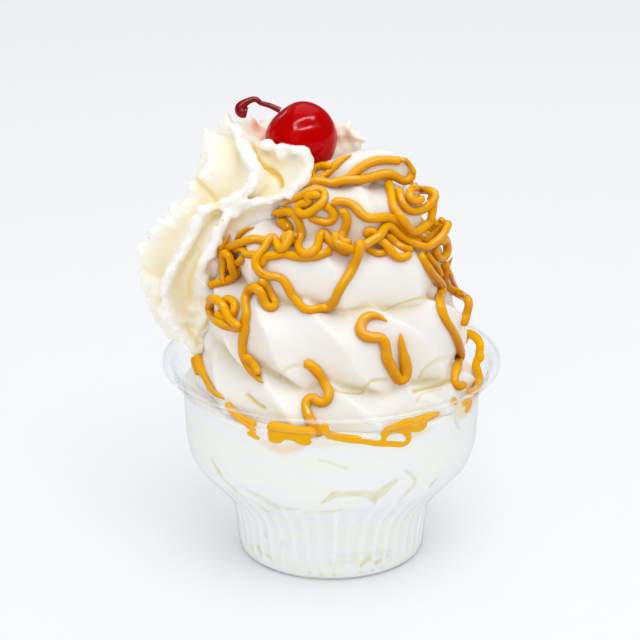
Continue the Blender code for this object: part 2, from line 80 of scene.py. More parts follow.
# ---------------------------------------------------------------- soft serve
CONTACT_HEIGHT = 50.0
FILLING_SIDES = 616
FILLING_STEP = 0.4
FILLING_FOOT_INSET = 0.8       # how far it is rounded in at the very base
FILLING_TOP = [(0.6, 0.35), (1.6, 0.6), (4.0, 0.9), (9.0, 1.0)]      # (inset, rise) of its rounded top
RIB_SEED = 31
RIB_POWER = 8                  # higher makes a narrower painted highlight along the rib
RIB_STRENGTHS = (0.35, 1.0)    # each rib's share of painted highlight, and the height at which it starts
RIB_FEET = (2.4, 6.0)
VOID_DEPTH = 0.45
VOID_LUMPS = (0.7, 0.45)       # even share of the tint in a void, and how much it varies
VOID_BLUR = 0.35
SMEAR_BLUR = 1.6
VOIDS = [                      # (name, butter tint, [(azimuth from the front, height, half width)])
    ("left_sliver", 0.9, [(-54.8, 36.6, 0.33), (-52.5, 34.8, 0.71), (-49.7, 32.2, 0.71),
        (-46.3, 30.5, 0.54), (-42.7, 28.9, 0.24), (-40.9, 27.4, 0.16), (-37.9, 26.1, 0.22),
        (-36.1, 23.8, 0.44), (-32.7, 22.7, 0.54), (-29.7, 21.8, 0.24)]),
    ("left_swoosh", 0.35, [(-38.2, 31.4, 0.22), (-33.7, 30.3, 0.65), (-29.3, 29.3, 0.98),
        (-25.9, 27.1, 1.36), (-22.7, 26.3, 1.36), (-18.2, 26.1, 0.87), (-13.8, 27.1, 0.24)]),
    ("left_fleck", 0.9, [(-24.6, 26.9, 0.60), (-24.1, 25.5, 0.44)]),
    ("small_hook", 0.6, [(-14.2, 22.5, 0.24), (-12.4, 24.8, 0.33), (-9.4, 26.1, 0.30), (-4.2, 26.4, 0.30),
        (-0.8, 26.5, 0.49), (2.2, 26.9, 0.71), (4.2, 27.6, 0.35)]),
    ("great_void_left", 0.85, [(-4.3, 29.9, 0.24), (-1.9, 31.4, 0.71), (0.8, 33.0, 1.14), (4.7, 33.3, 0.87),
        (9.0, 33.1, 0.76)]),
    ("great_void_right", 0.65, [(9.0, 33.1, 0.76), (13.3, 32.8, 0.98), (16.7, 31.5, 1.52),
        (18.7, 32.0, 1.52), (21.0, 33.3, 1.25), (23.3, 34.7, 0.92), (25.4, 35.5, 0.54)]),
    ("great_void_foot", 0.8, [(16.8, 30.8, 0.82), (18.0, 29.2, 0.35)]),
    ("right_hook", 0.45, [(29.1, 38.2, 0.24), (31.9, 36.8, 0.44), (34.6, 34.4, 0.65), (34.1, 32.6, 0.65),
        (31.6, 31.0, 0.76), (29.7, 28.9, 0.54), (29.3, 27.2, 0.24)]),
    ("far_right", 0.7, [(43.7, 30.4, 0.71), (44.9, 31.5, 0.49), (46.9, 32.3, 0.22)]),
    ("upper_line", 0.5, [(-5.6, 43.8, 0.16), (-2.6, 43.5, 0.30), (1.1, 42.4, 0.24), (5.7, 41.1, 0.16)]),
    ("foot_fleck_a", 0.8, [(-62.1, 4.7, 0.35), (-58.6, 3.8, 0.35)]),
    ("foot_fleck_b", 0.8, [(-52.3, 6.0, 0.60), (-49.9, 4.1, 0.54)]),
    ("foot_fleck_c", 0.8, [(-44.3, 4.4, 0.33), (-41.0, 4.0, 0.38)]),
    ("foot_fleck_d", 0.6, [(-43.8, 12.0, 0.49), (-43.3, 11.1, 0.71)]),
    ("foot_fleck_e", 0.5, [(-30.6, 11.3, 0.33), (-30.1, 10.0, 0.38)]),
    ("foot_amber_left", 1.0, [(18.8, 4.3, 0.65), (21.3, 5.4, 0.76), (23.9, 6.1, 0.82)]),
    ("foot_amber_right", 1.0, [(28.9, 4.3, 0.71), (32.4, 4.5, 0.71), (36.0, 5.3, 0.76)]),
    ("foot_grey", 0.12, [(0.8, 6.0, 1.09), (8.1, 6.8, 1.36), (17.3, 7.0, 1.63), (26.4, 7.5, 1.36),
        (38.1, 6.3, 0.82)]),
    ("foot_speck_a", 1.0, [(-14.0, 2.3, 0.27), (-13.4, 2.3, 0.27)]),
    ("foot_speck_b", 1.0, [(-7.1, 1.9, 0.27), (-5.9, 1.9, 0.27)]),
    ("foot_speck_c", 1.0, [(1.5, 2.0, 0.33), (2.1, 1.8, 0.27)]),
    ("foot_speck_d", 1.0, [(17.8, 2.0, 0.30), (19.1, 2.1, 0.27)]),
    ("foot_speck_e", 1.0, [(25.8, 2.0, 0.30), (27.1, 2.2, 0.27)]),
    ("foot_speck_f", 1.0, [(32.1, 2.2, 0.27), (32.9, 2.3, 0.27)]),
]
SMEARS = [                     # thin caramel between the ice cream and the wall, in the same terms
    ("under_pool", 0.55, [(-27.0, 47.2, 0.6), (-23.3, 46.4, 1.2), (-18.4, 46.0, 1.4), (-13.7, 47.2, 1.2),
        (-10.6, 48.2, 0.8)]),
    ("under_run", 0.25, [(-8.0, 48.6, 1.0), (-3.0, 48.6, 0.9), (4.0, 48.8, 0.5), (11.3, 47.6, 0.4)]),
    ("above_run", 0.4, [(4.0, 53.0, 1.6), (10.0, 52.6, 2.2), (16.0, 52.0, 1.6)]),
    ("beside_knot", 0.5, [(31.9, 48.2, 0.8), (35.6, 48.6, 0.8), (40.5, 48.6, 0.5)]),
    ("right_film", 0.6, [(56.0, 49.6, 1.0), (62.0, 49.4, 2.4), (70.0, 49.4, 3.0), (80.0, 50.0, 1.8)]),
    ("left_trail", 0.35, [(-36.0, 52.0, 1.0), (-31.0, 50.4, 0.9), (-28.0, 49.6, 0.8)]),
]
TURN_TABLE = [                 # (turn in degrees, coil radius, height, half width, half height, shift x)
    (-90, 24.5, 40.5, 14.0, 10.5, 0.5),
    (0, 26.0, 46.0, 14.0, 12.0, 0.6),
    (90, 26.0, 50.5, 14.0, 12.5, 0.8),
    (180, 25.0, 55.0, 13.5, 12.5, 1.0),
    (270, 24.0, 60.0, 13.5, 12.5, 1.2),
    (360, 23.0, 65.5, 13.2, 12.5, 1.0),
    (450, 22.6, 70.5, 13.6, 12.5, 0.8),
    (540, 22.2, 75.3, 13.6, 12.0, 0.5),
    (630, 20.6, 80.0, 12.8, 11.2, 0.5),
    (720, 18.2, 84.5, 12.0, 10.6, 0.3),
    (810, 17.2, 88.5, 12.0, 10.4, 0.2),
    (900, 17.0, 92.3, 12.2, 10.0, 0.0),
    (990, 14.8, 96.0, 11.4, 9.6, 0.3),
    (1080, 13.2, 99.6, 11.0, 9.4, 1.2),
    (1170, 10.6, 103.2, 10.2, 9.2, 1.0),
    (1215, 9.6, 105.2, 9.4, 8.4, 1.0),
    (1260, 8.4, 107.0, 8.6, 7.6, 0.5),
    (1300, 6.0, 108.0, 7.6, 6.6, 0.5),
]
RIDGE_COUNTS = [               # (turn in degrees, ridges passed): where the ridges cross mid coil
    (-90, -3), (0, 0), (140, 4), (401, 11), (442, 12), (477, 13), (506, 14), (758, 20), (805, 21),
    (858, 22), (1141, 28), (1190, 29), (1240, 30), (1300, 31),
]
RIDGE_WRAPS = [(-90, 3.8), (560, 3.9), (720, 1.8), (900, 1.4), (1100, 0.7), (1300, 0.7)]
TONGUE = [                     # (x, y, z, half width, half height): the tail, drawn over the top to the right
    (-8.0, -3.0, 106.0, 7.5, 6.5), (-2.5, -5.0, 109.5, 7.0, 6.0), (3.5, -4.6, 112.8, 6.0, 5.0),
    (9.0, -3.0, 114.8, 5.2, 4.3), (14.0, -1.5, 114.9, 4.6, 3.9), (18.0, -0.6, 113.4, 3.7, 3.2),
    (20.4, -0.3, 110.8, 2.2, 2.2), (21.0, -0.2, 109.0, 0.9, 0.9),
]
TONGUE_ROWS = 90
TONGUE_SIDES = 72
TONGUE_RIDGES = [(1.25, 0.45, 0.14), (5.6, 0.5, 0.16), (0.35, 0.5, -0.16)]   # (angle, width, height)
COIL_STEP = 2.0                # degrees of turn between two sections
COIL_SIDES = 128
RIDGE_DEPTH = 0.2              # flute depth over the section's radius
RIDGE_LEVEL = 0.6              # share of a ridge that is sunk, so that the rope keeps its size
RIDGED_ANGLE = 2.2             # radians from the outer side at which the ridges have died out
RIDGE_FADE = 0.8
SECTION_POWER = 0.74           # 1 is a round rope, less is a squarer one
CORE_PROFILE = [               # (radius, height) of the mass inside the coils
    (0.0, 106.0), (6.0, 104.0), (12.0, 92.0), (17.0, 83.0), (25.0, 75.5), (27.5, 68.0), (30.5, 57.0),
    (30.5, 45.0), (0.0, 45.0),
]
CORE_SHIFT = 1.0
CORE_SIDES = 48
SWIRL_FILLERS = [              # (centre, radius) of soft serve squeezed into the gaps between coils
    ((24.3, -5.0, 75.5), 5.6), ((25.5, -5.0, 78.5), 4.0), ((30.5, -7.5, 57.5), 4.6),
    ((32.0, -8.0, 54.0), 4.0), ((26.5, -21.5, 50.5), 5.2), ((-31.5, -3.0, 63.0), 4.8),
]
SWIRL_VOXEL = 0.62
# Share of painted yellow shade in the swirl's hollows.
SWIRL_HOLLOW_TINT = 0.6
SWIRL_CREASES = [              # (name, width, depth, share of painted yellow shade, [(across, up)]), thrown like the sauce
    ("tail_shade", 3.0, 0.00, 0.15, [(8.0, 102.0), (11.0, 102.3)]),
    ("under_ring_left", 0.5, 0.25, 0.80, [(-0.2, 72.4), (3.2, 71.6), (7.1, 71.8), (10.8, 72.4),
        (13.3, 71.5)]),
    ("under_ring_right", 0.5, 0.25, 1.00, [(14.1, 71.2), (16.9, 72.4), (20.0, 73.6), (22.5, 74.5),
        (25.3, 75.1), (28.4, 74.8)]),
    ("low_fold", 0.5, 0.40, 0.90, [(0.4, 47.6), (3.2, 46.7), (6.1, 46.4), (8.6, 46.5), (10.0, 48.5),
        (11.4, 50.0), (13.4, 50.3), (15.7, 50.6)]),
    ("left_fold", 0.7, 0.60, 1.00, [(-23.7, 45.7), (-22.3, 44.2), (-20.6, 42.7), (-19.2, 41.8)]),
    ("right_olive", 0.8, 0.70, 1.00, [(23.6, 47.0), (25.6, 47.9), (28.4, 48.5), (31.2, 49.4), (33.5, 50.3)]),
    ("right_ring", 0.7, 0.60, 0.45, [(25.0, 50.9), (25.8, 52.8), (27.5, 54.6), (29.7, 56.1), (32.3, 57.0),
        (34.5, 57.3)]),
    ("right_bulge", 0.6, 0.50, 0.30, [(24.5, 43.6), (25.6, 45.7), (28.2, 47.3), (31.5, 47.9)]),
    ("waist_fold", 0.6, 0.40, 0.40, [(-19.1, 53.4), (-17.1, 52.2), (-14.8, 51.6), (-12.9, 53.1),
        (-10.9, 54.3), (-9.2, 54.6)]),
]

# ---------------------------------------------------------------- whipped cream
FINS = [                       # (name, edge thickness, depth of the valley to the next fin, crest)
    ("front", 3.4, 0.3, [(-19.5, -5.0, 122.0), (-13.0, -8.0, 121.6), (-6.9, -10.0, 121.4),
        (-5.5, -12.0, 118.6), (-8.0, -14.0, 112.7), (-13.7, -14.0, 109.2), (-22.1, -13.0, 107.4),
        (-28.2, -12.0, 103.6), (-32.1, -12.0, 95.0), (-35.5, -11.0, 88.3), (-34.9, -9.0, 82.6),
        (-33.4, -7.0, 77.0), (-35.0, -5.0, 69.0)]),
    ("middle", 3.2, 0.3, [(-26.7, 0.0, 125.6), (-24.3, -6.0, 121.2), (-21.0, -10.0, 115.9),
        (-22.4, -12.0, 111.4), (-27.0, -12.0, 108.0), (-35.3, -11.0, 105.1), (-37.5, -11.0, 99.6),
        (-40.9, -12.0, 92.4), (-44.4, -11.0, 86.3), (-46.5, -9.0, 79.3), (-45.0, -7.0, 72.0),
        (-40.0, -5.0, 65.0)]),
    ("left", 2.8, 0.3, [(-34.5, 4.0, 122.0), (-34.3, 1.0, 117.6), (-34.6, -2.0, 113.6),
        (-38.6, -3.0, 109.0), (-40.2, -3.0, 104.0), (-45.1, -3.0, 98.9), (-49.6, -3.0, 95.4),
        (-53.1, -2.0, 90.0), (-52.6, 0.0, 80.2), (-50.6, 1.0, 70.5), (-46.0, 1.0, 64.0)]),
    ("back_left", 2.8, 0.32, [(-23.0, 8.0, 125.0), (-31.0, 12.0, 121.0), (-35.5, 14.0, 113.5),
        (-38.5, 13.0, 105.0), (-44.0, 11.5, 98.0), (-49.0, 10.5, 88.0), (-48.0, 10.0, 78.0),
        (-45.0, 8.0, 67.0)]),
    ("back", 2.8, 0.32, [(-14.0, 12.0, 125.0), (-20.0, 19.0, 120.0), (-25.0, 21.0, 110.0),
        (-30.0, 20.0, 100.5), (-36.0, 18.5, 92.0), (-41.0, 17.0, 83.0), (-42.0, 15.0, 74.0),
        (-40.0, 11.0, 67.0)]),
    ("right", 2.8, 0.32, [(-4.0, 12.0, 123.5), (3.0, 13.0, 119.8), (8.3, 12.0, 115.2), (5.0, 15.0, 108.0),
        (-10.0, 17.0, 101.0), (-22.0, 15.0, 93.0), (-31.0, 12.0, 84.0), (-35.0, 9.0, 74.0)]),
    ("inner", 2.4, 0.06, [(-6.0, -4.0, 114.0), (-7.8, -9.0, 109.9), (-11.3, -10.0, 107.0),
        (-16.2, -10.0, 104.7), (-22.3, -9.0, 99.8), (-26.2, -9.0, 96.3), (-29.0, -8.5, 92.1),
        (-30.5, -8.0, 86.9), (-30.6, -7.0, 82.1), (-31.5, -5.0, 76.7)]),
]
CREAM_CORE = [
    (-14.0, 3.0, 116.0), (-18.0, 1.0, 111.0), (-24.0, 1.0, 105.5), (-32.0, 1.5, 99.5),
    (-39.5, 1.5, 93.0), (-43.0, 1.5, 85.0), (-42.0, 1.5, 76.0), (-41.0, 2.0, 68.0),
]
CREAM_TOP = (-12.0, 3.0, 118.0)
CREAM_FOOT = (-40.0, 1.0, 61.0)
CREASE_SHARE = 0.45            # 0 is an even hollow between two fins, 1 a straight-sided fold
FIN_SIDES = 26                 # faces across a valley
EDGE_SIDES = 8                 # faces over a fin's rounded edge
CREAM_ROWS = 300
CREAM_VOXEL = 0.5
CREAM_EDGE_REACH = 2.6
CREAM_FOOT_TOP = 80.0          # below this the foam is torn all over
CREAM_LUMPS = [                # (everywhere, more where torn, size, seed) of the foam's roughness
    (0.05, 0.3, 1.1, 21), (0.08, 0.6, 2.3, 22), (0.35, 0.0, 7.0, 23),
]
EDGE_SINK = 0.6                # how far a fin's edge stands in from its crest, and how high it is,
EDGE_HEIGHT = 0.8              # in half thicknesses
EDGE_BEAD_STEP = 1.5
CREAM_CLUMPS = [               # (centre, spread, count, smallest radius, largest radius)
    ((-45.2, -1.0, 72.5), (1.6, 1.6, 2.2), 14, 2.4, 3.8),
    ((-42.6, -1.0, 68.4), (1.8, 1.6, 1.6), 14, 2.2, 3.6),
    ((-39.7, -1.0, 65.2), (1.6, 1.4, 1.2), 12, 1.8, 2.8),
    ((-37.2, -1.5, 62.8), (1.0, 1.0, 0.8), 10, 1.4, 2.2),
    ((-44.0, 2.0, 66.0), (1.8, 1.8, 1.8), 16, 1.6, 2.8),
    ((-48.3, 0.0, 76.5), (1.2, 1.6, 3.0), 14, 1.4, 2.6),
    ((-36.0, -4.0, 69.0), (1.4, 1.0, 3.0), 14, 1.1, 1.8),
    ((-28.6, 2.6, 125.0), (0.3, 0.3, 0.4), 3, 1.5, 1.8),
    ((-28.8, 2.6, 127.0), (0.15, 0.15, 0.3), 3, 0.9, 1.1),
    ((-29.1, 2.6, 128.6), (0.1, 0.1, 0.2), 2, 0.6, 0.7),
    ((-18.5, -8.0, 102.0), (2.2, 0.7, 1.0), 10, 1.2, 1.9),
    ((-12.6, -7.6, 121.0), (1.0, 0.1, 0.7), 8, 1.1, 1.3),
    ((2.8, 12.0, 121.0), (1.0, 1.0, 0.7), 8, 1.0, 1.6),
    ((6.2, 12.0, 118.4), (1.1, 1.0, 0.7), 8, 0.9, 1.4),
]
CREAM_CREASES = [              # (name, width, depth, share of painted yellow shade, [(across, up)]), thrown like the sauce
    ("by_cherry", 0.9, 1.6, 1.0, [(-21.0, 119.6), (-19.9, 116.4), (-18.3, 114.1), (-16.4, 112.4),
        (-14.7, 110.4), (-14.2, 108.3)]),
    ("left_face", 1.3, 0.9, 0.5, [(-37.8, 110.4), (-35.4, 107.7), (-33.2, 105.1), (-31.6, 102.8)]),
    ("inner_edge", 1.2, 0.5, 0.9, [(-31.9, 80.7), (-31.1, 78.1), (-30.1, 75.4), (-29.0, 73.6)]),
    ("foot_fold", 1.5, 1.0, 0.55, [(-35.1, 73.6), (-33.8, 70.3), (-34.4, 67.3), (-36.1, 65.2)]),
    ("foot_low", 1.4, 0.8, 0.5, [(-40.3, 66.7), (-38.9, 64.0), (-37.3, 61.6)]),
    ("valley_low", 1.5, 0.3, 0.5, [(-37.0, 87.0), (-38.9, 82.5), (-39.8, 79.0), (-39.6, 75.0)]),
    ("left_low", 1.0, 0.5, 0.3, [(-52.5, 84.0), (-50.9, 82.8), (-48.9, 81.3)]),
    ("left_nick", 1.0, 0.7, 0.3, [(-42.2, 112.4), (-40.6, 109.8)]),
]
CREAM_JUICE_STROKE = [(-20.1, 127.6), (-20.4, 124.7), (-19.6, 121.9)]

# ---------------------------------------------------------------- cherry
CHERRY_CENTRE = (-8.4, 2.5, 121.0)
CHERRY_RADIUS = 9.9
CHERRY_HEIGHT_SCALE = 1.04
DIMPLE_DEPTH = 1.5
DIMPLE_WIDTH = 0.42
STEM_LEAN = (-0.62, 0.0, 0.78)
STEM_POINTS = [                # (x, y, z, radius), from the dimple to the broken end
    (-14.2, 2.5, 129.0, 0.85), (-16.9, 2.5, 130.3, 0.75), (-19.4, 2.5, 131.1, 0.7), (-20.9, 2.3, 132.2, 0.8),
    (-22.9, 2.1, 131.7, 0.95), (-24.9, 2.0, 130.2, 1.4), (-24.6, 2.0, 128.9, 1.8), (-23.2, 2.0, 128.5, 1.5),
]


# ---------------------------------------------------------------- caramel sauce
# Every front strand is drawn on the upright sheet through the cup's axis, as seen from the eye point,
# and is thrown from there onto the ice cream. Bottom strands come first.
EYE_POINT = (-3.24, -746.9, 355.2)
STRAND_RADIUS = 1.22
STRAND_SIDES = 16
STRAND_STEP = 0.35
MISS_REACH = 60.0              # how far either side of the axis a ray that misses is followed, and in
MISS_STEP = 2.0                # what steps, to find where it passes nearest
STRAND_TOUCH = 1.75            # two strands rest on each other this many radii apart
STRAND_OWN = 3.2               # a strand doesn't rest on its own last few radii
STRAND_PILE = 9.0              # the highest pile a strand climbs
POINTED_END = 4.5              # length of a pointed end and of a round one, in radii
ROUND_END = 1.0
END_SHARE = 0.12               # share of the radius left at the very end
SIDE_DEGREE = 0.45             # mm that a degree of azimuth counts as along a strand at the side
WALL_DEGREE = 0.7              # and along one on the wall
STAIN_RADIUS = 0.9             # thinner parts of a strand leave no stain
STAIN_SHARE = 0.4
STAIN_START = 1.1              # distance from a strand's middle at which the stain starts to fade
WALL_TOP = 57.0                # below this the sauce is kept inside the wall
STRAND_VOXEL = 0.32
SAUCE_STRANDS = [              # (name, share of the usual thickness, tapered ends, points (across, up))
    ("left_deep", 0.8, "both", [(-21.2, 95.7), (-23.1, 95.2), (-24.9, 93.8), (-26.2, 91.8), (-27.6, 90.0)]),
    ("left_stub", 1.0, "", [(-25.5, 84.3), (-26.1, 82.8), (-27.2, 81.0), (-28.1, 81.3)]),
    ("left_ring", 0.9, "", [(-20.2, 87.9), (-22.1, 87.9), (-23.5, 88.1), (-24.1, 89.3), (-25.5, 89.6),
        (-27.1, 89.0), (-28.8, 88.1), (-28.8, 86.7), (-27.2, 85.8), (-25.2, 85.8), (-24.1, 87.3)]),
    ("left_loop", 0.95, "", [(-17.7, 91.1), (-19.3, 92.0), (-21.5, 92.3), (-23.8, 91.4), (-26.0, 90.2),
        (-28.2, 89.3), (-29.9, 87.9), (-30.5, 85.8), (-30.5, 83.7), (-29.7, 82.2), (-28.3, 82.5)]),
    ("row_behind", 1.0, "", [(-19.1, 84.0), (-19.1, 85.8), (-17.7, 87.3), (-15.5, 87.6), (-12.7, 87.9),
        (-9.9, 87.3), (-7.1, 87.0), (-4.4, 87.3), (-2.1, 88.1), (0.1, 89.0)]),
    ("lump_strand", 1.35, "", [(-14.9, 98.1), (-13.5, 97.0), (-12.1, 95.8), (-11.3, 94.3)]),
    ("arch", 1.0, "", [(-15.1, 98.1), (-14.6, 99.6), (-12.9, 100.5), (-11.3, 100.5), (-9.9, 99.6),
        (-8.8, 97.8), (-8.2, 95.8), (-8.2, 93.7), (-8.8, 92.0), (-9.1, 89.9), (-8.0, 88.1), (-6.3, 87.3),
        (-4.6, 87.9), (-3.8, 89.3), (-3.5, 91.4), (-3.2, 93.4), (-2.4, 94.6), (-1.6, 93.7), (-1.0, 92.0),
        (0.1, 90.5), (1.8, 89.3), (3.7, 88.4), (5.1, 88.7)]),
    ("curl_left", 1.0, "", [(-11.3, 93.4), (-12.4, 93.4), (-13.2, 92.3), (-12.7, 90.8), (-11.0, 91.1),
        (-10.5, 92.3), (-9.3, 91.1)]),
    ("small_ring", 1.0, "", [(-2.7, 102.2), (-0.8, 101.6), (0.4, 100.2), (0.4, 98.4), (-1.0, 97.6),
        (-3.0, 97.8), (-4.9, 98.4), (-6.3, 99.3)]),
    ("left_under", 1.0, "start", [(-13.2, 102.2), (-11.0, 103.7), (-8.2, 104.8), (-5.4, 106.3),
        (-3.2, 106.6), (-2.1, 105.1), (-2.7, 103.1), (-4.6, 101.3), (-6.8, 99.9), (-8.5, 100.5),
        (-9.0, 101.9), (-7.7, 102.8), (-6.0, 103.1), (-6.6, 104.6), (-4.9, 104.8), (-3.2, 104.3)]),
    ("swag_by_cherry", 0.9, "start", [(5.5, 116.7), (3.1, 115.5), (0.9, 113.8), (-1.0, 111.8),
        (-2.7, 110.4), (-4.3, 110.1), (-5.4, 111.2), (-4.6, 113.0), (-2.1, 113.5), (0.3, 113.0)]),
    ("tongue_over", 1.0, "", [(1.2, 108.0), (3.6, 109.8), (5.6, 111.2), (7.5, 113.0), (9.7, 114.4),
        (12.1, 115.3), (14.9, 115.5), (17.4, 115.3), (19.0, 115.2)]),
    ("tongue_under", 1.0, "", [(-7.9, 107.7), (-5.4, 108.9), (-2.7, 108.9), (-0.2, 108.0), (2.5, 108.6),
        (5.0, 109.2), (7.8, 109.8), (10.5, 110.6), (13.3, 111.5), (15.5, 111.8), (17.4, 110.9),
        (19.2, 109.9), (20.7, 109.9), (21.6, 111.0), (21.8, 112.3)]),
    ("tongue_link", 0.62, "", [(18.0, 115.3), (19.4, 115.3), (20.6, 114.4), (21.4, 113.3), (21.8, 112.0),
        (21.7, 111.2)]),
    ("band_drop", 1.0, "", [(2.0, 101.1), (3.4, 100.2), (4.2, 98.4), (4.0, 96.4), (3.3, 94.6), (2.2, 93.3),
        (0.9, 92.4)]),
    ("upper_band", 1.08, "", [(-0.2, 102.2), (2.3, 103.1), (5.0, 102.8), (6.7, 101.6), (8.1, 99.9),
        (10.0, 98.7), (12.5, 98.7), (14.7, 99.0), (16.7, 98.4), (18.3, 97.3), (19.8, 95.2), (21.2, 93.4),
        (22.8, 92.0), (24.5, 90.8)]),
    ("lower_eye", 1.0, "", [(5.7, 88.7), (4.0, 88.1), (1.8, 88.7), (0.4, 89.9), (0.1, 91.4), (1.8, 92.3),
        (3.7, 91.7), (5.1, 90.2)]),
    ("lower_ring", 1.0, "", [(-1.0, 91.7), (0.4, 92.9), (2.0, 94.0), (4.0, 93.7), (5.9, 92.6), (7.9, 91.4)]),
    ("right_low_a", 0.9, "", [(9.5, 90.2), (11.5, 88.7), (13.4, 88.1), (15.1, 89.0), (14.2, 90.8),
        (12.6, 92.0)]),
    ("right_low_b", 0.95, "", [(9.8, 92.9), (9.8, 94.9), (11.2, 94.9), (12.3, 92.6), (14.3, 90.5),
        (16.2, 88.4), (18.2, 87.0), (20.1, 87.0), (21.8, 88.1)]),
    ("right_low_c", 1.0, "", [(14.8, 94.0), (16.2, 92.3), (17.9, 90.5), (19.8, 89.3), (22.3, 89.0)]),
    ("right_knot_a", 1.0, "", [(27.2, 97.6), (28.9, 96.4), (30.0, 94.9), (30.0, 93.2), (29.0, 91.4),
        (27.6, 89.6)]),
    ("right_knot_b", 1.0, "", [(27.6, 89.9), (28.2, 87.9), (29.9, 86.7), (31.2, 87.6), (31.5, 89.6),
        (30.3, 91.1), (28.7, 91.4), (27.6, 89.9)]),
    ("right_knot_c", 0.8, "", [(22.8, 94.6), (24.2, 92.9), (25.6, 91.7), (27.3, 92.9), (28.3, 94.9),
        (27.2, 96.4)]),
    ("right_drop", 1.0, "", [(14.6, 110.1), (15.8, 107.7), (16.3, 105.1), (16.6, 102.2), (17.5, 99.6),
        (18.9, 97.3), (20.6, 95.5), (22.5, 95.2), (24.5, 96.1), (26.1, 97.6), (26.9, 99.6), (27.4, 101.9),
        (27.2, 103.8), (26.2, 105.3)]),
    ("coil_heart", 1.1, "", [(21.6, 105.0), (22.5, 104.4), (23.4, 103.6)]),
    ("right_coil", 1.0, "", [(18.4, 107.5), (18.6, 105.1), (19.2, 102.9), (20.6, 101.2), (22.4, 100.6),
        (24.1, 101.0), (25.4, 102.7), (25.4, 104.6), (24.2, 105.9), (22.2, 106.3), (20.6, 105.7),
        (20.6, 104.3), (21.6, 103.0), (22.9, 103.0), (23.7, 104.2)]),
    ("right_strand_b", 0.85, "", [(25.7, 88.7), (27.4, 86.4), (29.1, 84.0), (30.2, 81.3)]),
    ("right_strand_c", 1.0, "", [(30.7, 86.1), (31.0, 83.4), (31.1, 80.7), (31.9, 78.4), (33.9, 76.9),
        (35.9, 75.7), (37.6, 74.2), (37.9, 72.4), (37.4, 70.3), (36.9, 68.5), (36.6, 66.7)]),
    ("right_strand_d", 0.65, "start", [(33.2, 87.3), (32.4, 85.5), (31.8, 84.0), (32.7, 81.9), (33.6, 79.6),
        (34.7, 77.2)]),
    ("right_strand_a", 1.0, "", [(24.0, 88.4), (25.4, 85.5), (27.4, 82.5), (29.1, 80.2), (30.3, 77.8),
        (29.8, 74.8), (30.4, 71.8), (31.5, 68.8), (33.3, 65.8), (34.7, 63.1), (35.6, 60.4), (35.9, 58.2),
        (35.4, 56.1), (35.1, 54.0), (34.6, 51.6), (34.7, 49.4), (35.8, 48.2), (37.8, 49.4)]),
    ("garland", 1.0, "", [(30.0, 94.6), (28.7, 92.6), (27.0, 90.5), (25.1, 89.0), (22.9, 89.6),
        (20.6, 91.4), (18.7, 93.4), (17.0, 95.2), (15.6, 96.4), (14.2, 96.1), (12.3, 94.3), (10.1, 92.6),
        (7.9, 90.8), (6.8, 88.7), (6.2, 85.8), (5.1, 82.8), (3.7, 80.4), (2.1, 77.5), (0.7, 74.2),
        (-1.0, 72.4), (-3.2, 71.8), (-5.5, 71.2), (-7.7, 71.8), (-9.4, 73.9), (-11.1, 76.3), (-12.2, 78.7),
        (-13.6, 80.7), (-15.5, 81.6), (-17.7, 81.9), (-19.7, 83.7), (-20.5, 85.8), (-19.6, 88.1),
        (-18.2, 89.6), (-17.4, 91.4), (-16.3, 92.3), (-15.2, 91.1), (-14.1, 88.7), (-12.7, 89.0),
        (-11.6, 90.5), (-10.7, 92.3)]),
    ("left_fall", 1.05, "end", [(-18.9, 81.6), (-18.0, 79.0), (-16.9, 76.3), (-15.8, 73.6), (-16.4, 72.1),
        (-17.8, 72.1), (-19.5, 73.9), (-20.8, 76.0), (-22.2, 76.9), (-23.4, 75.7), (-23.7, 73.3),
        (-23.4, 70.3), (-24.0, 67.9), (-24.0, 65.5), (-24.6, 63.1), (-24.9, 60.1), (-24.4, 57.3),
        (-23.0, 54.6), (-21.3, 51.9), (-19.9, 50.0), (-18.8, 49.4)]),
    ("left_fall_over", 1.0, "", [(-23.8, 58.8), (-22.4, 56.7), (-20.7, 54.3), (-19.6, 51.2)]),
    ("lump_c", 1.0, "", [(-30.7, 73.9), (-28.7, 74.5), (-27.0, 73.3), (-27.0, 71.2), (-28.2, 69.1),
        (-30.4, 69.4), (-32.1, 71.2)]),
    ("lump_b", 1.0, "", [(-32.9, 74.2), (-33.8, 72.1), (-33.2, 70.0), (-31.3, 68.2), (-28.8, 66.7),
        (-26.3, 66.1), (-24.3, 66.7)]),
    ("lump_a", 1.0, "", [(-33.4, 74.5), (-31.5, 74.2), (-29.8, 72.4), (-28.7, 70.3), (-27.4, 68.5),
        (-25.4, 67.6), (-23.4, 66.7)]),
    ("left_rim_bump", 0.8, "", [(-37.8, 57.6), (-38.3, 56.3), (-38.1, 54.9), (-37.7, 53.3), (-36.9, 51.8)]),
    ("left_rim_run", 0.9, "end", [(-37.3, 58.2), (-37.1, 56.1), (-36.3, 53.4), (-34.9, 50.3), (-33.5, 47.6),
        (-31.8, 45.7), (-29.9, 44.5)]),
    ("front_hook", 1.15, "", [(-7.8, 54.6), (-6.6, 55.2), (-4.9, 54.0), (-3.2, 51.9), (-1.8, 49.1),
        (-0.7, 46.7), (-1.0, 44.5), (-2.4, 43.3), (-4.1, 43.9), (-5.5, 44.8), (-6.9, 43.9), (-7.2, 41.8),
        (-6.6, 39.3), (-5.5, 36.8), (-4.1, 34.7), (-3.5, 32.8)]),
    ("free_hook", 1.25, "both", [(15.6, 67.9), (13.9, 69.1), (11.9, 69.7), (9.7, 69.1), (8.3, 67.3),
        (8.0, 65.2), (9.1, 63.7), (11.1, 63.1), (13.1, 63.1), (14.5, 61.9), (15.1, 59.5), (15.4, 57.0),
        (16.5, 54.6), (17.7, 52.2), (18.8, 50.6), (20.2, 51.2), (20.8, 53.4), (20.4, 56.4), (19.9, 58.8),
        (19.5, 61.6), (19.2, 64.6)]),
]
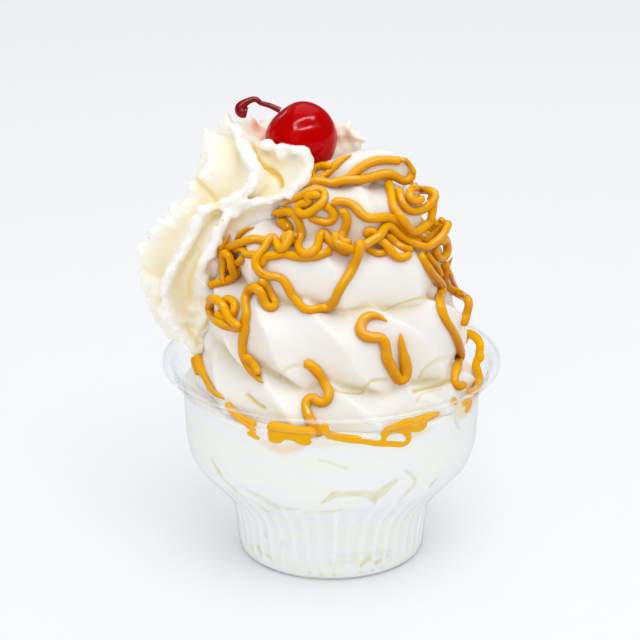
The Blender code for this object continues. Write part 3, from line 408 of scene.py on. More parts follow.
WALL_STRANDS = [               # (azimuth from the front, height), along the inside of the wall
    ("wall_loop", 1.1, [(121, 51.5), (119, 54.0), (117, 56.6), (111, 57.4), (105, 56.6), (104, 54.5),
        (103, 52.5), (100, 51.6), (95, 51.4), (88, 51.5), (80, 51.5), (74, 51.5)]),
    ("wall_loop_stub", 1.1, [(101, 55.0), (102, 53.5), (102, 52.0)]),
    ("wall_run", 0.9, [(-2.5, 56.0), (-2.5, 53.4), (-0.8, 51.4), (2.2, 50.6), (6.7, 49.8), (11.3, 49.2),
        (15.2, 48.4), (18.6, 47.8), (22.5, 47.3), (26.0, 46.8)]),
    ("knot_ring", 0.95, [(19.0, 48.6), (20.6, 50.6), (22.8, 52.0), (26.8, 51.2), (29.4, 49.4), (30.4, 47.4),
        (27.6, 46.4), (24.0, 47.2)]),
    ("wall_end", 1.0, [(28.8, 50.8), (31.4, 50.9), (34.5, 50.0), (37.0, 50.4), (36.0, 52.2)]),
    ("wall_rise", 0.9, [(20.6, 51.4), (23.6, 52.8), (27.0, 53.6), (30.5, 54.0)]),
    ("wall_smear_right", 1.3, [(62, 50.0), (66, 49.0), (70, 50.4)]),
    ("wall_left_low", 0.7, [(-34.5, 49.4), (-32.7, 48.8), (-30.0, 48.2), (-27.4, 48.2)]),
    ("wall_left_high", 0.6, [(-33.9, 54.0), (-33.6, 51.8), (-31.6, 50.3), (-29.1, 49.4)]),
    ("pool_top", 1.45, [(-24.2, 52.6), (-21.5, 52.8), (-17.8, 52.4), (-12.7, 52.3), (-8.5, 52.2),
        (-5.4, 52.6)]),
    ("pool_middle", 1.4, [(-25.2, 50.4), (-21.8, 50.4), (-16.5, 50.6), (-12.0, 50.4), (-7.4, 50.6)]),
    ("pool_low_left", 0.95, [(-25.0, 49.2), (-22.8, 48.5), (-20.4, 48.6), (-18.6, 49.6)]),
    ("pool_low_right", 0.95, [(-14.0, 49.8), (-12.0, 49.0), (-9.6, 48.8), (-7.2, 49.7)]),
]
LEDGE_STRANDS = [              # (azimuth, height, radius), in the gap between ice cream and wall
    ("ledge_left", 0.8, [(-48, 54.5, 39.0), (-44, 53.0, 39.4), (-40, 52.0, 39.6), (-35, 51.4, 39.6),
        (-31, 51.0, 39.6)]),
    ("ledge_right", 0.95, [(31, 51.0, 39.6), (36, 51.4, 39.6), (42, 51.6, 39.4), (48, 51.8, 39.2),
        (55, 52.0, 39.0), (62, 51.8, 38.8)]),
    ("ledge_bridge", 0.9, [(77, 51.3, 36.2), (76.5, 50.8, 38.0), (75.5, 51.0, 39.6), (74, 51.5, 41.0)]),
    ("ledge_front", 1.1, [(-9, 55.5, 38.0), (-8, 53.5, 39.0), (-6, 51.8, 39.6), (-4, 50.6, 39.8)]),
]
BACK_LOOPS = [                 # (first azimuth, last azimuth, height, swing, loops), round the back
    (102, 190, 93.0, 4.5, 7), (150, 285, 95.0, 5.0, 9), (114, 260, 100.0, 3.5, 8), (200, 300, 88.0, 4.0, 5),
    (122, 230, 106.0, 2.6, 6),
]
BACK_FALLS = [                 # (azimuth, top, low end) of the strands that fell from those loops
    (118, 92.0, 63.0), (150, 94.0, 72.0), (188, 96.0, 58.0), (226, 92.0, 66.0), (252, 90.0, 60.0),
]

# ---------------------------------------------------------------- stage
FLOOR_HALF = 3.0               # metres, as all of the stage
LIGHT_AIM = (0.0, 0.0, 0.07)
SKY = 0.862                    # strength of the even light from all round
SKY_IN_GLOSS = 0.122           # and as it shows in a gloss
WINDOW_GLOW = 420.0            # watts a square metre
WINDOW_BARS = [                # (name, (across, along), place): the lit frame of a window
    ("window_top", (1.34, 0.026), (0.107, -0.21, 1.103)),
    ("window_foot", (1.2, 0.026), (0.333, -0.65, 0.837)),
    ("window_left", (0.026, 0.56), (-0.376, -0.736, 0.97)),
    ("window_right", (0.026, 0.56), (0.816, -0.124, 0.97)),
]

CURVE_STEPS = 24               # between two given points of a curve


# ---------------------------------------------------------------- numbers
def unit(vectors):
    """Each row brought to length one."""
    return vectors / np.linalg.norm(vectors, axis=1)[:, None]


def full_turn(sides):
    return np.linspace(0.0, 2 * math.pi, sides, endpoint=False)


def fade(values, span):
    """0 where the values are 0 or less, rising evenly to 1 at the span."""
    return np.clip(values / span, 0.0, 1.0)


def catmull(points, count):
    """Points evenly spaced along a smooth curve through the given points."""
    pts = np.array(points, float)
    ends = np.vstack([2 * pts[0] - pts[1], pts, 2 * pts[-1] - pts[-2]])
    dense = []
    for i in range(1, len(ends) - 2):
        p0, p1, p2, p3 = ends[i - 1:i + 3]
        for t in np.linspace(0.0, 1.0, CURVE_STEPS, endpoint=False):
            dense.append(0.5 * (2 * p1 + (p2 - p0) * t + (2 * p0 - 5 * p1 + 4 * p2 - p3) * t ** 2
                                + (3 * p1 - p0 - 3 * p2 + p3) * t ** 3))
    dense = np.array(dense + [pts[-1]])
    steps = np.linalg.norm(np.diff(dense[:, :3], axis=0), axis=1)
    along = np.concatenate([[0.0], np.cumsum(steps)])
    wanted = np.linspace(0.0, along[-1], count)
    return np.column_stack([np.interp(wanted, along, column) for column in dense.T])


def stepped(points, step):
    """The drawn points as a smooth path of even steps."""
    length = np.linalg.norm(np.diff(np.array(points, float), axis=0), axis=1).sum()
    return catmull(points, max(6, int(length / step)))


def smooth_table(table, at):
    """Read a table of rows (position, values...) at the given positions, smoothly."""
    rows = np.array(table, float)
    where = rows[:, 0]
    slopes = np.gradient(rows[:, 1:], where, axis=0)
    i = np.clip(np.searchsorted(where, at, side="right") - 1, 0, len(where) - 2)
    span = (where[i + 1] - where[i])[:, None]
    t = ((at - where[i])[:, None]) / span
    start, end = rows[i, 1:], rows[i + 1, 1:]
    return (start * (2 * t ** 3 - 3 * t ** 2 + 1) + end * (3 * t ** 2 - 2 * t ** 3)
            + span * (slopes[i] * (t ** 3 - 2 * t ** 2 + t) + slopes[i + 1] * (t ** 3 - t ** 2)))


def lumps(points, size, seed):
    """Smooth uneven values between -1 and 1 at points in mm; neighbours a size apart differ."""
    table = np.random.default_rng(seed).uniform(-1.0, 1.0, 4096)
    where = np.asarray(points, float) / size + 1000.0
    cell = np.floor(where).astype(np.int64)
    t = where - cell
    t = t * t * (3 - 2 * t)
    total = np.zeros(len(where))
    for corner in range(8):
        step = np.array([corner & 1, corner >> 1 & 1, corner >> 2 & 1])
        spot = cell + step
        key = (spot[:, 0] * 73856093 ^ spot[:, 1] * 19349663 ^ spot[:, 2] * 83492791) % len(table)
        total += np.prod(np.where(step, t, 1 - t), axis=1) * table[key]
    return total


def distance_to(places, points):
    """How far each point is from the nearest of the places."""
    tree = KDTree(len(places))
    for i, place in enumerate(places):
        tree.insert(Vector(place), i)
    tree.balance()
    return np.array([tree.find(Vector(point))[2] for point in points])


# ---------------------------------------------------------------- meshes
def new_piece(name, data):
    """A mesh, a lamp or a camera put into the scene."""
    piece = bpy.data.objects.new(name, data)
    bpy.context.scene.collection.objects.link(piece)
    return piece


def piece_from(name, points, faces, facing=False):
    """A smooth shaded piece from points in mm, its faces turned outward where asked."""
    mesh = bpy.data.meshes.new(name)
    mesh.from_pydata((np.asarray(points) * MM).tolist(), [], faces)
    mesh.shade_smooth()
    if facing:
        face_outward(mesh)
    return new_piece(name, mesh)


def edit(mesh, change):
    """Open the mesh, let the change work on it, and close it again."""
    bm = bmesh.new()
    bm.from_mesh(mesh)
    change(bm)
    bm.to_mesh(mesh)
    bm.free()


def face_outward(mesh):
    edit(mesh, lambda bm: bmesh.ops.recalc_face_normals(bm, faces=bm.faces))


def reshape(piece, kind, **settings):
    """Replace the piece's mesh by what a modifier makes of it."""
    modifier = piece.modifiers.new(kind, kind)
    for name, value in settings.items():
        setattr(modifier, name, value)
    depsgraph = bpy.context.evaluated_depsgraph_get()
    mesh = bpy.data.meshes.new_from_object(piece.evaluated_get(depsgraph))
    piece.modifiers.clear()
    piece.data = mesh


def fuse(piece, voxel):
    """Fuse all of the piece's bodies into one skin."""
    reshape(piece, "REMESH", mode="VOXEL", voxel_size=voxel * MM)


def grid_faces(rows, sides):
    """Quads of a tube of closed rings, ring after ring."""
    faces = []
    for row in range(rows - 1):
        for k in range(sides):
            a = row * sides + k
            b = row * sides + (k + 1) % sides
            faces.append((a, b, b + sides, a + sides))
    return faces


def capped_tube(rings, first_tip, last_tip):
    """Points and faces of a closed body from rings of points, fanned to a point at each end."""
    rows, sides = rings.shape[:2]
    points = np.vstack([rings.reshape(-1, 3), [first_tip, last_tip]])
    faces = grid_faces(rows, sides)
    last = (rows - 1) * sides
    for k in range(sides):
        n = (k + 1) % sides
        faces.append((n, k, rows * sides))
        faces.append((last + k, last + n, rows * sides + 1))
    return points, faces


def tube_rings(path, radii, sides):
    """Round sections along a path, each square to it."""
    along = np.gradient(path, axis=0)
    along /= np.linalg.norm(along, axis=1)[:, None] + 1e-9
    side = np.cross(along[0], (0.3, 0.9, 0.2))
    turn = full_turn(sides)
    rings = []
    for i in range(len(path)):
        side = side - along[i] * (side @ along[i])
        side /= np.linalg.norm(side)
        up = np.cross(along[i], side)
        rings.append(path[i] + radii[i] * (np.outer(np.cos(turn), side) + np.outer(np.sin(turn), up)))
    return np.array(rings)


def level_ring(radius, height, azimuth):
    """A level ring round the axis; the radius may change with the azimuth."""
    level = np.full(len(azimuth), height)
    return np.column_stack([radius * np.cos(azimuth), radius * np.sin(azimuth), level])


def joined(bodies):
    """Several bodies, each its points and faces, as one."""
    points, faces = [], []
    first = 0
    for more, sides in bodies:
        points.append(more)
        faces += [tuple(v + first for v in side) for side in sides]
        first += len(more)
    return np.vstack(points), faces


def crumbs(centres, radii):
    """Small balls, as points and faces, to be fused into a larger body."""
    bm = bmesh.new()
    bmesh.ops.create_icosphere(bm, subdivisions=2, radius=1.0)
    ball = np.array([v.co[:] for v in bm.verts])
    sides = [tuple(v.index for v in face.verts) for face in bm.faces]
    bm.free()
    return joined([(ball * radius + np.asarray(centre), sides) for centre, radius in zip(centres, radii)])


def keep_largest(mesh):
    """Drop every part of the mesh but the one with the most corners."""
    def drop_others(bm):
        unseen = set(bm.verts)
        parts = []
        while unseen:
            part = [unseen.pop()]
            for vert in part:
                for edge in vert.link_edges:
                    other = edge.other_vert(vert)
                    if other in unseen:
                        unseen.remove(other)
                        part.append(other)
            parts.append(part)
        parts.sort(key=len)
        for part in parts[:-1]:
            bmesh.ops.delete(bm, geom=part, context="VERTS")

    edit(mesh, drop_others)


def read_vectors(collection, name):
    flat = np.empty(len(collection) * 3, np.float32)
    collection.foreach_get(name, flat)
    return flat.reshape(-1, 3).astype(float)


def vertices(mesh):
    """The mesh's vertices in mm."""
    return read_vectors(mesh.vertices, "co") / MM


def normals(mesh):
    return read_vectors(mesh.vertex_normals, "vector")


def set_vertices(mesh, points):
    mesh.vertices.foreach_set("co", (points * MM).astype(np.float32).ravel())
    mesh.update()


def paint(mesh, name, values):
    """Store a value for each vertex, for a material to read."""
    attribute = mesh.attributes.new(name, "FLOAT", "POINT")
    attribute.data.foreach_set("value", np.asarray(values, np.float32))


def smoothed(mesh, points, rounds):
    """The points after each has moved to its neighbours' mean a number of times."""
    pairs = np.empty(len(mesh.edges) * 2, np.int32)
    mesh.edges.foreach_get("vertices", pairs)
    a, b = pairs[0::2], pairs[1::2]
    count = np.bincount(pairs, minlength=len(points)).astype(float)[:, None]
    for _ in range(rounds):
        total = [np.bincount(a, column[b], len(points)) + np.bincount(b, column[a], len(points))
                 for column in points.T]
        points = np.column_stack(total) / count
    return points


def smooth(mesh, rounds):
    points = smoothed(mesh, vertices(mesh), rounds)
    set_vertices(mesh, points)
    return points


def hollowness(mesh, rounds, reach):
    """0 on crests and flat faces, rising to 1 in hollows about as deep as the reach in mm."""
    points = vertices(mesh)
    sunk = ((smoothed(mesh, points, rounds) - points) * normals(mesh)).sum(axis=1)
    return fade(sunk, reach)


def tree_of(mesh):
    """A search tree over the mesh's faces, in mm."""
    points = [Vector(p) for p in vertices(mesh)]
    return BVHTree.FromPolygons(points, [tuple(p.vertices) for p in mesh.polygons])


# ---------------------------------------------------------------- throwing onto the ice cream
def thrown(origins, directions, tree):
    """Where each ray meets the ice cream, or passes nearest to it, as a distance, and the face's normal."""
    reach = np.empty(len(origins))
    faces = np.empty((len(origins), 3))
    for i, (origin, direction) in enumerate(zip(origins, directions)):
        start, heading = Vector(origin), Vector(direction)
        place, normal, _, distance = tree.ray_cast(start, heading)
        if place is None:
            passing = np.arange(start.length - MISS_REACH, start.length + MISS_REACH, MISS_STEP)
            tries = [(tree.find_nearest(start + heading * d), d) for d in passing]
            (place, normal, _, _), distance = min(tries, key=lambda item: item[0][3])
        reach[i] = distance
        faces[i] = normal
    return reach, faces


def eye_rays(drawn):
    """Rays from the eye point through points drawn on the upright sheet through the axis."""
    sheet = stepped(drawn, STRAND_STEP)
    origins = np.repeat([EYE_POINT], len(sheet), axis=0)
    return origins, unit(np.column_stack([sheet[:, 0], np.zeros(len(sheet)), sheet[:, 1]]) - origins)


def creases(table, tree, points):
    """For each crease of a table: its depth, its tint, and how near each point is to it, from 0 to 1."""
    for _, width, depth, tint, drawn in table:
        yield depth, tint, np.exp(-(distance_to(landed(drawn, tree), points) / width) ** 2)


def landed(drawn, tree):
    """Where points drawn on the upright sheet land when thrown from the eye point."""
    origins, directions = eye_rays(drawn)
    reach, _ = thrown(origins, directions, tree)
    return origins + directions * reach[:, None]


# ---------------------------------------------------------------- materials
def hex_colour(code):
    """An sRGB hex colour as linear red, green, blue and alpha."""
    values = [int(code[i:i + 2], 16) / 255 for i in (0, 2, 4)]
    return tuple(v / 12.92 if v <= 0.04045 else ((v + 0.055) / 1.055) ** 2.4 for v in values) + (1.0,)


def add(tree, kind, settings=None, inputs=None):
    """Add a node: its settings, and for each input a value or the output it is linked to."""
    new = tree.nodes.new("ShaderNode" + kind)
    for name, value in (settings or {}).items():
        setattr(new, name, value)
    for name, value in (inputs or {}).items():
        if isinstance(value, bpy.types.NodeSocket):
            tree.links.new(value, new.inputs[name])
        else:
            new.inputs[name].default_value = value
    return new


def calculate(tree, operation, *values, clamped=False):
    settings = {"operation": operation, "use_clamp": clamped}
    return add(tree, "Math", settings, dict(enumerate(values))).outputs["Value"]


def length_of(tree, x, y):
    corner = add(tree, "CombineXYZ", inputs={"X": x, "Y": y}).outputs["Vector"]
    return add(tree, "VectorMath", {"operation": "LENGTH"}, {0: corner}).outputs["Value"]


def scaled(tree, value, low, high, top=1.0):
    """The value carried evenly from 0 at low to the top at high, and kept between them."""
    inputs = {"Value": value, "From Min": low, "From Max": high, "To Max": top}
    return add(tree, "MapRange", inputs=inputs).outputs["Result"]


def own_place(tree):
    return add(tree, "TexCoord").outputs["Object"]


def noise(tree, scale, detail=2.0):
    inputs = {"Vector": own_place(tree), "Scale": scale, "Detail": detail}
    return add(tree, "TexNoise", inputs=inputs).outputs["Fac"]


def upward(tree):
    """How far the surface faces up: 1 on top, -1 underneath."""
    normal = add(tree, "NewGeometry").outputs["Normal"]
    return add(tree, "SeparateXYZ", inputs={"Vector": normal}).outputs["Z"]


def slant(tree):
    """0 where the surface is seen straight on, rising late to 1 where it is seen edge on."""
    weight = add(tree, "LayerWeight", inputs={"Blend": 0.5})
    return calculate(tree, "POWER", weight.outputs["Facing"], 4.0)


def coloured(tree, ground, layers):
    """A ground colour with others laid over it, each (share, colour). A share is an output, or the name
    of a painted value."""
    colour = hex_colour(ground)
    for share, over in layers:
        if isinstance(share, str):
            share = add(tree, "Attribute", {"attribute_name": share}).outputs["Fac"]
        inputs = {"Factor": share, "A": colour, "B": hex_colour(over)}
        colour = add(tree, "Mix", {"data_type": "RGBA"}, inputs).outputs["Result"]
    return colour


def grained(tree, scale, detail, strength, depth):
    """The normal of a surface with a fine grain of a depth in metres."""
    inputs = {"Height": noise(tree, scale, detail), "Strength": strength, "Distance": depth}
    return add(tree, "Bump", inputs=inputs).outputs["Normal"]


def new_material(name):
    """A material, its node tree and its Principled shader."""
    mat = bpy.data.materials.new(name)
    mat.use_nodes = True
    return mat, mat.node_tree, mat.node_tree.nodes["Principled BSDF"]


def set_shader(tree, shader, values):
    """Set the shader's inputs, each to a value or to the output it is linked to."""
    for name, value in values.items():
        if isinstance(value, bpy.types.NodeSocket):
            tree.links.new(value, shader.inputs[name])
        else:
            shader.inputs[name].default_value = value


def clear_pet():
    """Thermoformed clear PET: a thin colourless wall with a wet gloss, greyer where it is seen edge on,
    with painted highlights: fine bright white lines where its rolled lip and its bends would gather light."""
    mat, tree, shader = new_material("thermoformed_clear_pet")
    tree.nodes.remove(shader)
    steep = slant(tree)
    clear = add(tree, "BsdfTransparent", inputs={"Color": coloured(tree, "FEFFFF", [(steep, "EEF0F2")])})
    mirror = add(tree, "BsdfAnisotropic", inputs={"Color": hex_colour("F4F6F8"), "Roughness": 0.22})
    gloss = calculate(tree, "MULTIPLY_ADD", steep, 0.13, 0.012)
    wall = add(tree, "MixShader", inputs={0: gloss, 1: clear.outputs["BSDF"], 2: mirror.outputs["BSDF"]})
    part = add(tree, "SeparateXYZ", inputs={"Vector": own_place(tree)})
    radius = length_of(tree, part.outputs["X"], part.outputs["Y"])
    # Painted highlights: white lines on the rolled lip and the bends, standing in for the light caught there.
    glow = 0.0
    for line_radius, line_height, half_width, strength in LIP_LINES:
        across = calculate(tree, "SUBTRACT", radius, line_radius * MM)
        over = calculate(tree, "SUBTRACT", part.outputs["Z"], line_height * MM)
        away = length_of(tree, across, over)
        line = scaled(tree, away, low=half_width * MM, high=0.4 * half_width * MM, top=strength)
        glow = calculate(tree, "MAXIMUM", glow, line)
    painted_highlight_translucent = add(tree, "BsdfTranslucent", inputs={"Color": hex_colour("FFFFFF")})
    painted_highlight_diffuse = add(tree, "BsdfDiffuse", inputs={"Color": hex_colour("FFFFFF")})
    caught = add(tree, "MixShader", inputs={0: 0.5, 1: painted_highlight_translucent.outputs["BSDF"], 2: painted_highlight_diffuse.outputs["BSDF"]})
    wall = add(tree, "MixShader", inputs={0: glow, 1: wall.outputs["Shader"], 2: caught.outputs["Shader"]})
    tree.links.new(wall.outputs["Shader"], tree.nodes["Material Output"].inputs["Surface"])
    return mat


def soft_serve_finish():
    """Soft serve: dense, fatty and just melting. Satin white, warm where light passes through it, with a
    painted warm shade under its overhangs and a painted yellow shade in its hollows and creases, fine ice
    grain and, beside the sauce, a stain of caramel."""
    mat, tree, shader = new_material("soft_serve_dairy")
    # Painted shade: a warm tint where the surface faces down, and a yellow one in the hollows and creases.
    under = scaled(tree, upward(tree), low=0.4, high=-0.3, top=0.18)
    colour = coloured(tree, "F2F0EB", [("hollow", "E2CE84"), (under, "F2E2BE"), ("sauce_stain", "F6D59C")])
    grain = grained(tree, scale=1800.0, detail=2.0, strength=0.12, depth=0.0002)
    set_shader(tree, shader, {
        "Base Color": colour, "Normal": grain, "Roughness": 0.42, "IOR": 1.38, "Specular IOR Level": 0.25,
        "Subsurface Weight": 0.6, "Subsurface Radius": (1.0, 0.78, 0.5), "Subsurface Scale": 0.0022})
    return mat


def pressed_soft_serve_finish():
    """Soft serve squeezed against the wall: the same milk white without the satin, streaked where
    folds met, butter yellow in the voids, with a painted highlight of the fluted wall as a white line
    along each rib, and peach where caramel ran thin."""
    mat, tree, shader = new_material("pressed_soft_serve_dairy")
    spread = add(tree, "Mapping", inputs={"Vector": own_place(tree), "Rotation": (0.0, 0.35, 0.0),
                                          "Scale": (26.0, 26.0, 110.0)})
    folds = add(tree, "TexNoise", inputs={"Vector": spread.outputs["Vector"], "Scale": 1.0, "Detail": 2.0,
                                          "Distortion": 1.6})
    streak = scaled(tree, folds.outputs["Fac"], low=0.44, high=0.56)
    # The rib layer is a painted highlight: a white line along each rib where the fluted wall catches light.
    colour = coloured(tree, "F7F7EE", [(streak, "F6F5F5"), ("void", "EADDA6"), ("rib", "FFFFFF"),
                                       ("sauce_smear", "F3CE9C")])
    set_shader(tree, shader, {
        "Base Color": colour, "Roughness": 0.7, "Specular IOR Level": 0.1, "Subsurface Weight": 0.5,
        "Subsurface Radius": (1.0, 0.8, 0.55), "Subsurface Scale": 0.0012})
    return mat


def whipped_cream_finish():
    """Whipped dairy cream: matt, airy foam, white on its torn crests, with a painted butter-yellow shade in
    its hollows and folds, pricked with burst bubbles whose pits are painted a shade darker, and stained
    pink by the fruit."""
    mat, tree, shader = new_material("whipped_dairy_cream")
    # Painted shade in the small pits of burst bubbles, in patches.
    bubbles = add(tree, "TexVoronoi", inputs={"Vector": own_place(tree), "Scale": 300.0})
    pit = scaled(tree, bubbles.outputs["Distance"], low=0.16, high=0.1)
    some = scaled(tree, noise(tree, 120.0), low=0.5, high=0.56)
    pitted = calculate(tree, "MULTIPLY", pit, some)
    # hollow and fold are painted shade in the hollows and creases.
    colour = coloured(tree, "FBF3E0", [("edge", "FCFAF5"), ("hollow", "EFD377"), ("fold", "F3CE40"),
                                       (pitted, "EFE0AC"), ("cherry_juice", "F08458")])
    foam = grained(tree, scale=900.0, detail=3.0, strength=0.3, depth=0.0004)
    set_shader(tree, shader, {
        "Base Color": colour, "Normal": foam, "Roughness": 0.6, "IOR": 1.36, "Subsurface Weight": 0.6,
        "Subsurface Radius": (1.0, 0.8, 0.45), "Subsurface Scale": 0.0025})
    return mat


def caramel_finish(name, gloss, shade_colour):
    """Thick caramel sauce: golden amber with a wet gloss, with painted light and shade: paler on top where
    light falls on it from above, deeper underneath and where it is seen aslant. Pressed on a wall it has
    next to no gloss."""
    mat, tree, shader = new_material(name)
    # Painted light and shade: paler where the surface faces up, deeper where it faces down and at its edges.
    lit = scaled(tree, upward(tree), low=-0.6, high=0.9)
    uneven = calculate(tree, "MULTIPLY_ADD", noise(tree, 220.0), 0.3, -0.15)
    level = calculate(tree, "ADD", lit, uneven, clamped=True)
    set_shader(tree, shader, {
        "Base Color": coloured(tree, shade_colour, [(level, "F8B600"), (slant(tree), "C87800")]),
        "Roughness": 0.11, "IOR": 1.4, "Specular IOR Level": gloss, "Subsurface Weight": 0.08,
        "Subsurface Radius": (1.0, 0.45, 0.05), "Subsurface Scale": 0.0008})
    return mat


def cherry_finish():
    """Maraschino cherry: candied flesh soaked in red syrup, glassy and lit from within."""
    mat, tree, shader = new_material("candied_cherry_flesh")
    set_shader(tree, shader, {
        "Base Color": coloured(tree, "A40001", [(noise(tree, 160.0, 3.0), "CC0002")]),
        "Roughness": 0.01, "IOR": 1.36, "Specular IOR Level": 0.16, "Subsurface Weight": 0.15,
        "Subsurface Radius": (1.0, 0.05, 0.03), "Subsurface Scale": 0.002})
    return mat


def stalk_finish():
    """Cherry stem steeped in syrup: maroon, wet and unevenly soaked."""
    mat, tree, shader = new_material("syrup_soaked_stem")
    set_shader(tree, shader, {
        "Base Color": coloured(tree, "4A0206", [(noise(tree, 400.0), "A80A12")]),
        "Roughness": 0.22, "IOR": 1.4, "Specular IOR Level": 0.25})
    return mat


def table_finish():
    """Matt white sweep."""
    mat, tree, shader = new_material("white_paper_sweep")
    set_shader(tree, shader, {
        "Base Color": hex_colour("F3F4F6"), "Roughness": 0.9, "Specular IOR Level": 0.2})
    return mat


# ---------------------------------------------------------------- cup
def rib_wave(azimuth):
    """1 on each upright rib of the foot, falling to 0 half-way to the next."""
    from_front = azimuth + math.pi / 2 - math.radians(FLUTE_PHASE)
    return np.abs(np.cos(0.5 * FLUTES * from_front))


def flute_inset(azimuth, height):
    """How far the fluted wall stands in from the plain profile, in mm."""
    rise = fade(height - FLUTE_FOOT, FLUTE_FOOT_FADE) * fade(FLUTE_HEAD - height, FLUTE_HEAD_FADE)
    return FLUTE_DEPTH * (1 - rib_wave(azimuth) ** FLUTE_POWER) * rise


def cup_radius(height):
    """The plain outer radius of the wall at a height."""
    wall = np.array([p for p in CUP_PROFILE if 0.0 < p[1] <= WALL_HEAD])
    return np.interp(height, wall[:, 1], wall[:, 0])


def make_cup():
    bowl = CUP_PROFILE.index(LIP_FOOT)
    wall = catmull(CUP_PROFILE[2:bowl + 1], CUP_ROWS)
    lip = catmull(CUP_PROFILE[bowl:], LIP_ROWS)
    azimuth = full_turn(CUP_STEPS)
    rings = [level_ring(radius - flute_inset(azimuth, height), max(height, 0.0), azimuth)
             for radius, height in np.vstack([wall, lip[1:]])]
    middle = len(rings) * CUP_STEPS
    faces = grid_faces(len(rings), CUP_STEPS) + [((k + 1) % CUP_STEPS, k, middle) for k in range(CUP_STEPS)]
    cup = piece_from("clear_cup", np.vstack(rings + [(0.0, 0.0, 0.0)]), faces)
    reshape(cup, "SOLIDIFY", thickness=WALL * MM, offset=-1.0, use_even_offset=True)
    face_outward(cup.data)
    cup.data.shade_smooth()
    return cup


# ---------------------------------------------------------------- soft serve
def squared(wave):
    """A wave made fuller, so that a round section becomes a rounder square."""
    return np.sign(wave) * np.abs(wave) ** SECTION_POWER


def coil_rings():
    """Sections of the soft serve rope, wound upwards; each is a ridged oval."""
    turns = np.arange(TURN_TABLE[0][0], TURN_TABLE[-1][0] + 0.01, COIL_STEP)
    coil_radius, height, half_width, half_height, shift = smooth_table(TURN_TABLE, turns).T
    passed = np.interp(turns, *np.array(RIDGE_COUNTS, float).T)
    wraps = np.interp(turns, *np.array(RIDGE_WRAPS, float).T)
    azimuth = np.radians(-turns)
    level = np.zeros(len(turns))
    radial = np.column_stack([np.cos(azimuth), np.sin(azimuth), level])
    centre = radial * coil_radius[:, None] + np.column_stack([shift, level, height])
    along = unit(np.gradient(centre, axis=0))
    outward = unit(radial - along * (radial * along).sum(axis=1)[:, None])
    upright = np.cross(outward, along)
    upright *= np.sign(upright[:, 2])[:, None]
    around = np.linspace(-math.pi, math.pi, COIL_SIDES, endpoint=False)
    ridged = fade(RIDGED_ANGLE - np.abs(around), RIDGE_FADE)
    rings = []
    for i in range(len(turns)):
        phase = passed[i] - around * wraps[i] / (2 * math.pi)
        from_crest = np.abs(phase - np.round(phase)) * 2
        reach = 1 + RIDGE_DEPTH * ((1 - from_crest) ** 2 - RIDGE_LEVEL) * ridged
        out = (half_width[i] * squared(np.cos(around)) * reach)[:, None]
        up = (half_height[i] * squared(np.sin(around)) * reach)[:, None]
        rings.append(centre[i] + outward[i] * out + upright[i] * up)
    return np.array(rings)


def tongue_rings():
    """Sections of the tail: rounded, with a crest along its top and a shallow flute in front."""
    route = catmull(TONGUE, TONGUE_ROWS)
    path = route[:, :3]
    along = unit(np.gradient(path, axis=0))
    around = full_turn(TONGUE_SIDES)
    reach = 1 + sum(height * np.exp(-((around - angle) / width) ** 2)
                    for angle, width, height in TONGUE_RIDGES)
    rings = []
    for i in range(len(path)):
        side = np.cross(along[i], (0.0, 0.0, 1.0))
        side /= np.linalg.norm(side)
        up = np.cross(side, along[i])
        rings.append(path[i] + np.outer(route[i, 3] * np.cos(around) * reach, side)
                     + np.outer(route[i, 4] * np.sin(around) * reach, up))
    return np.array(rings)


def make_swirl():
    """The rope above and just below the rim, fused into one skin."""
    rope, tail = coil_rings(), tongue_rings()
    core = np.array([level_ring(radius, height, full_turn(CORE_SIDES)) + (CORE_SHIFT, 0.0, 0.0)
                     for radius, height in CORE_PROFILE[1:-1]])
    core_top, core_foot = [(CORE_SHIFT, 0.0, CORE_PROFILE[end][1]) for end in (0, -1)]
    bodies = [capped_tube(rope, rope[0].mean(axis=0), rope[-1].mean(axis=0)),
              capped_tube(tail, tail[0].mean(axis=0), TONGUE[-1][:3]),
              capped_tube(core, core_top, core_foot),
              crumbs(*zip(*SWIRL_FILLERS))]
    swirl = piece_from("soft_serve_swirl", *joined(bodies))
    fuse(swirl, SWIRL_VOXEL)
    points = smooth(swirl.data, rounds=2)
    # Painted shade: a yellow tint in the hollows, and along each crease its share of painted shade.
    hollow = SWIRL_HOLLOW_TINT * hollowness(swirl.data, rounds=40, reach=1.2)
    sunk = np.zeros(len(points))
    for depth, tint, near in creases(SWIRL_CREASES, tree_of(swirl.data), points):
        sunk = np.maximum(sunk, depth * near)
        hollow = np.maximum(hollow, tint * near)
    set_vertices(swirl.data, points - normals(swirl.data) * sunk[:, None])
    paint(swirl.data, "hollow", hollow)
    return swirl


def stroke_mask(arc, height, marks, blur):
    """1 inside a stroke of changing width on the wall, 0 outside."""
    azimuth, level, width = np.array(marks, float).T
    places = np.column_stack([np.radians(azimuth) * cup_radius(level), level])
    mask = np.zeros(len(arc))
    for k in range(len(marks) - 1):
        step = places[k + 1] - places[k]
        share = ((arc - places[k, 0]) * step[0] + (height - places[k, 1]) * step[1]) / (step @ step)
        share = np.clip(share, 0.0, 1.0)
        away = np.hypot(arc - places[k, 0] - share * step[0], height - places[k, 1] - share * step[1])
        reach = width[k] + share * (width[k + 1] - width[k])
        mask = np.maximum(mask, np.clip((reach - away) / blur + 0.5, 0.0, 1.0))
    return mask


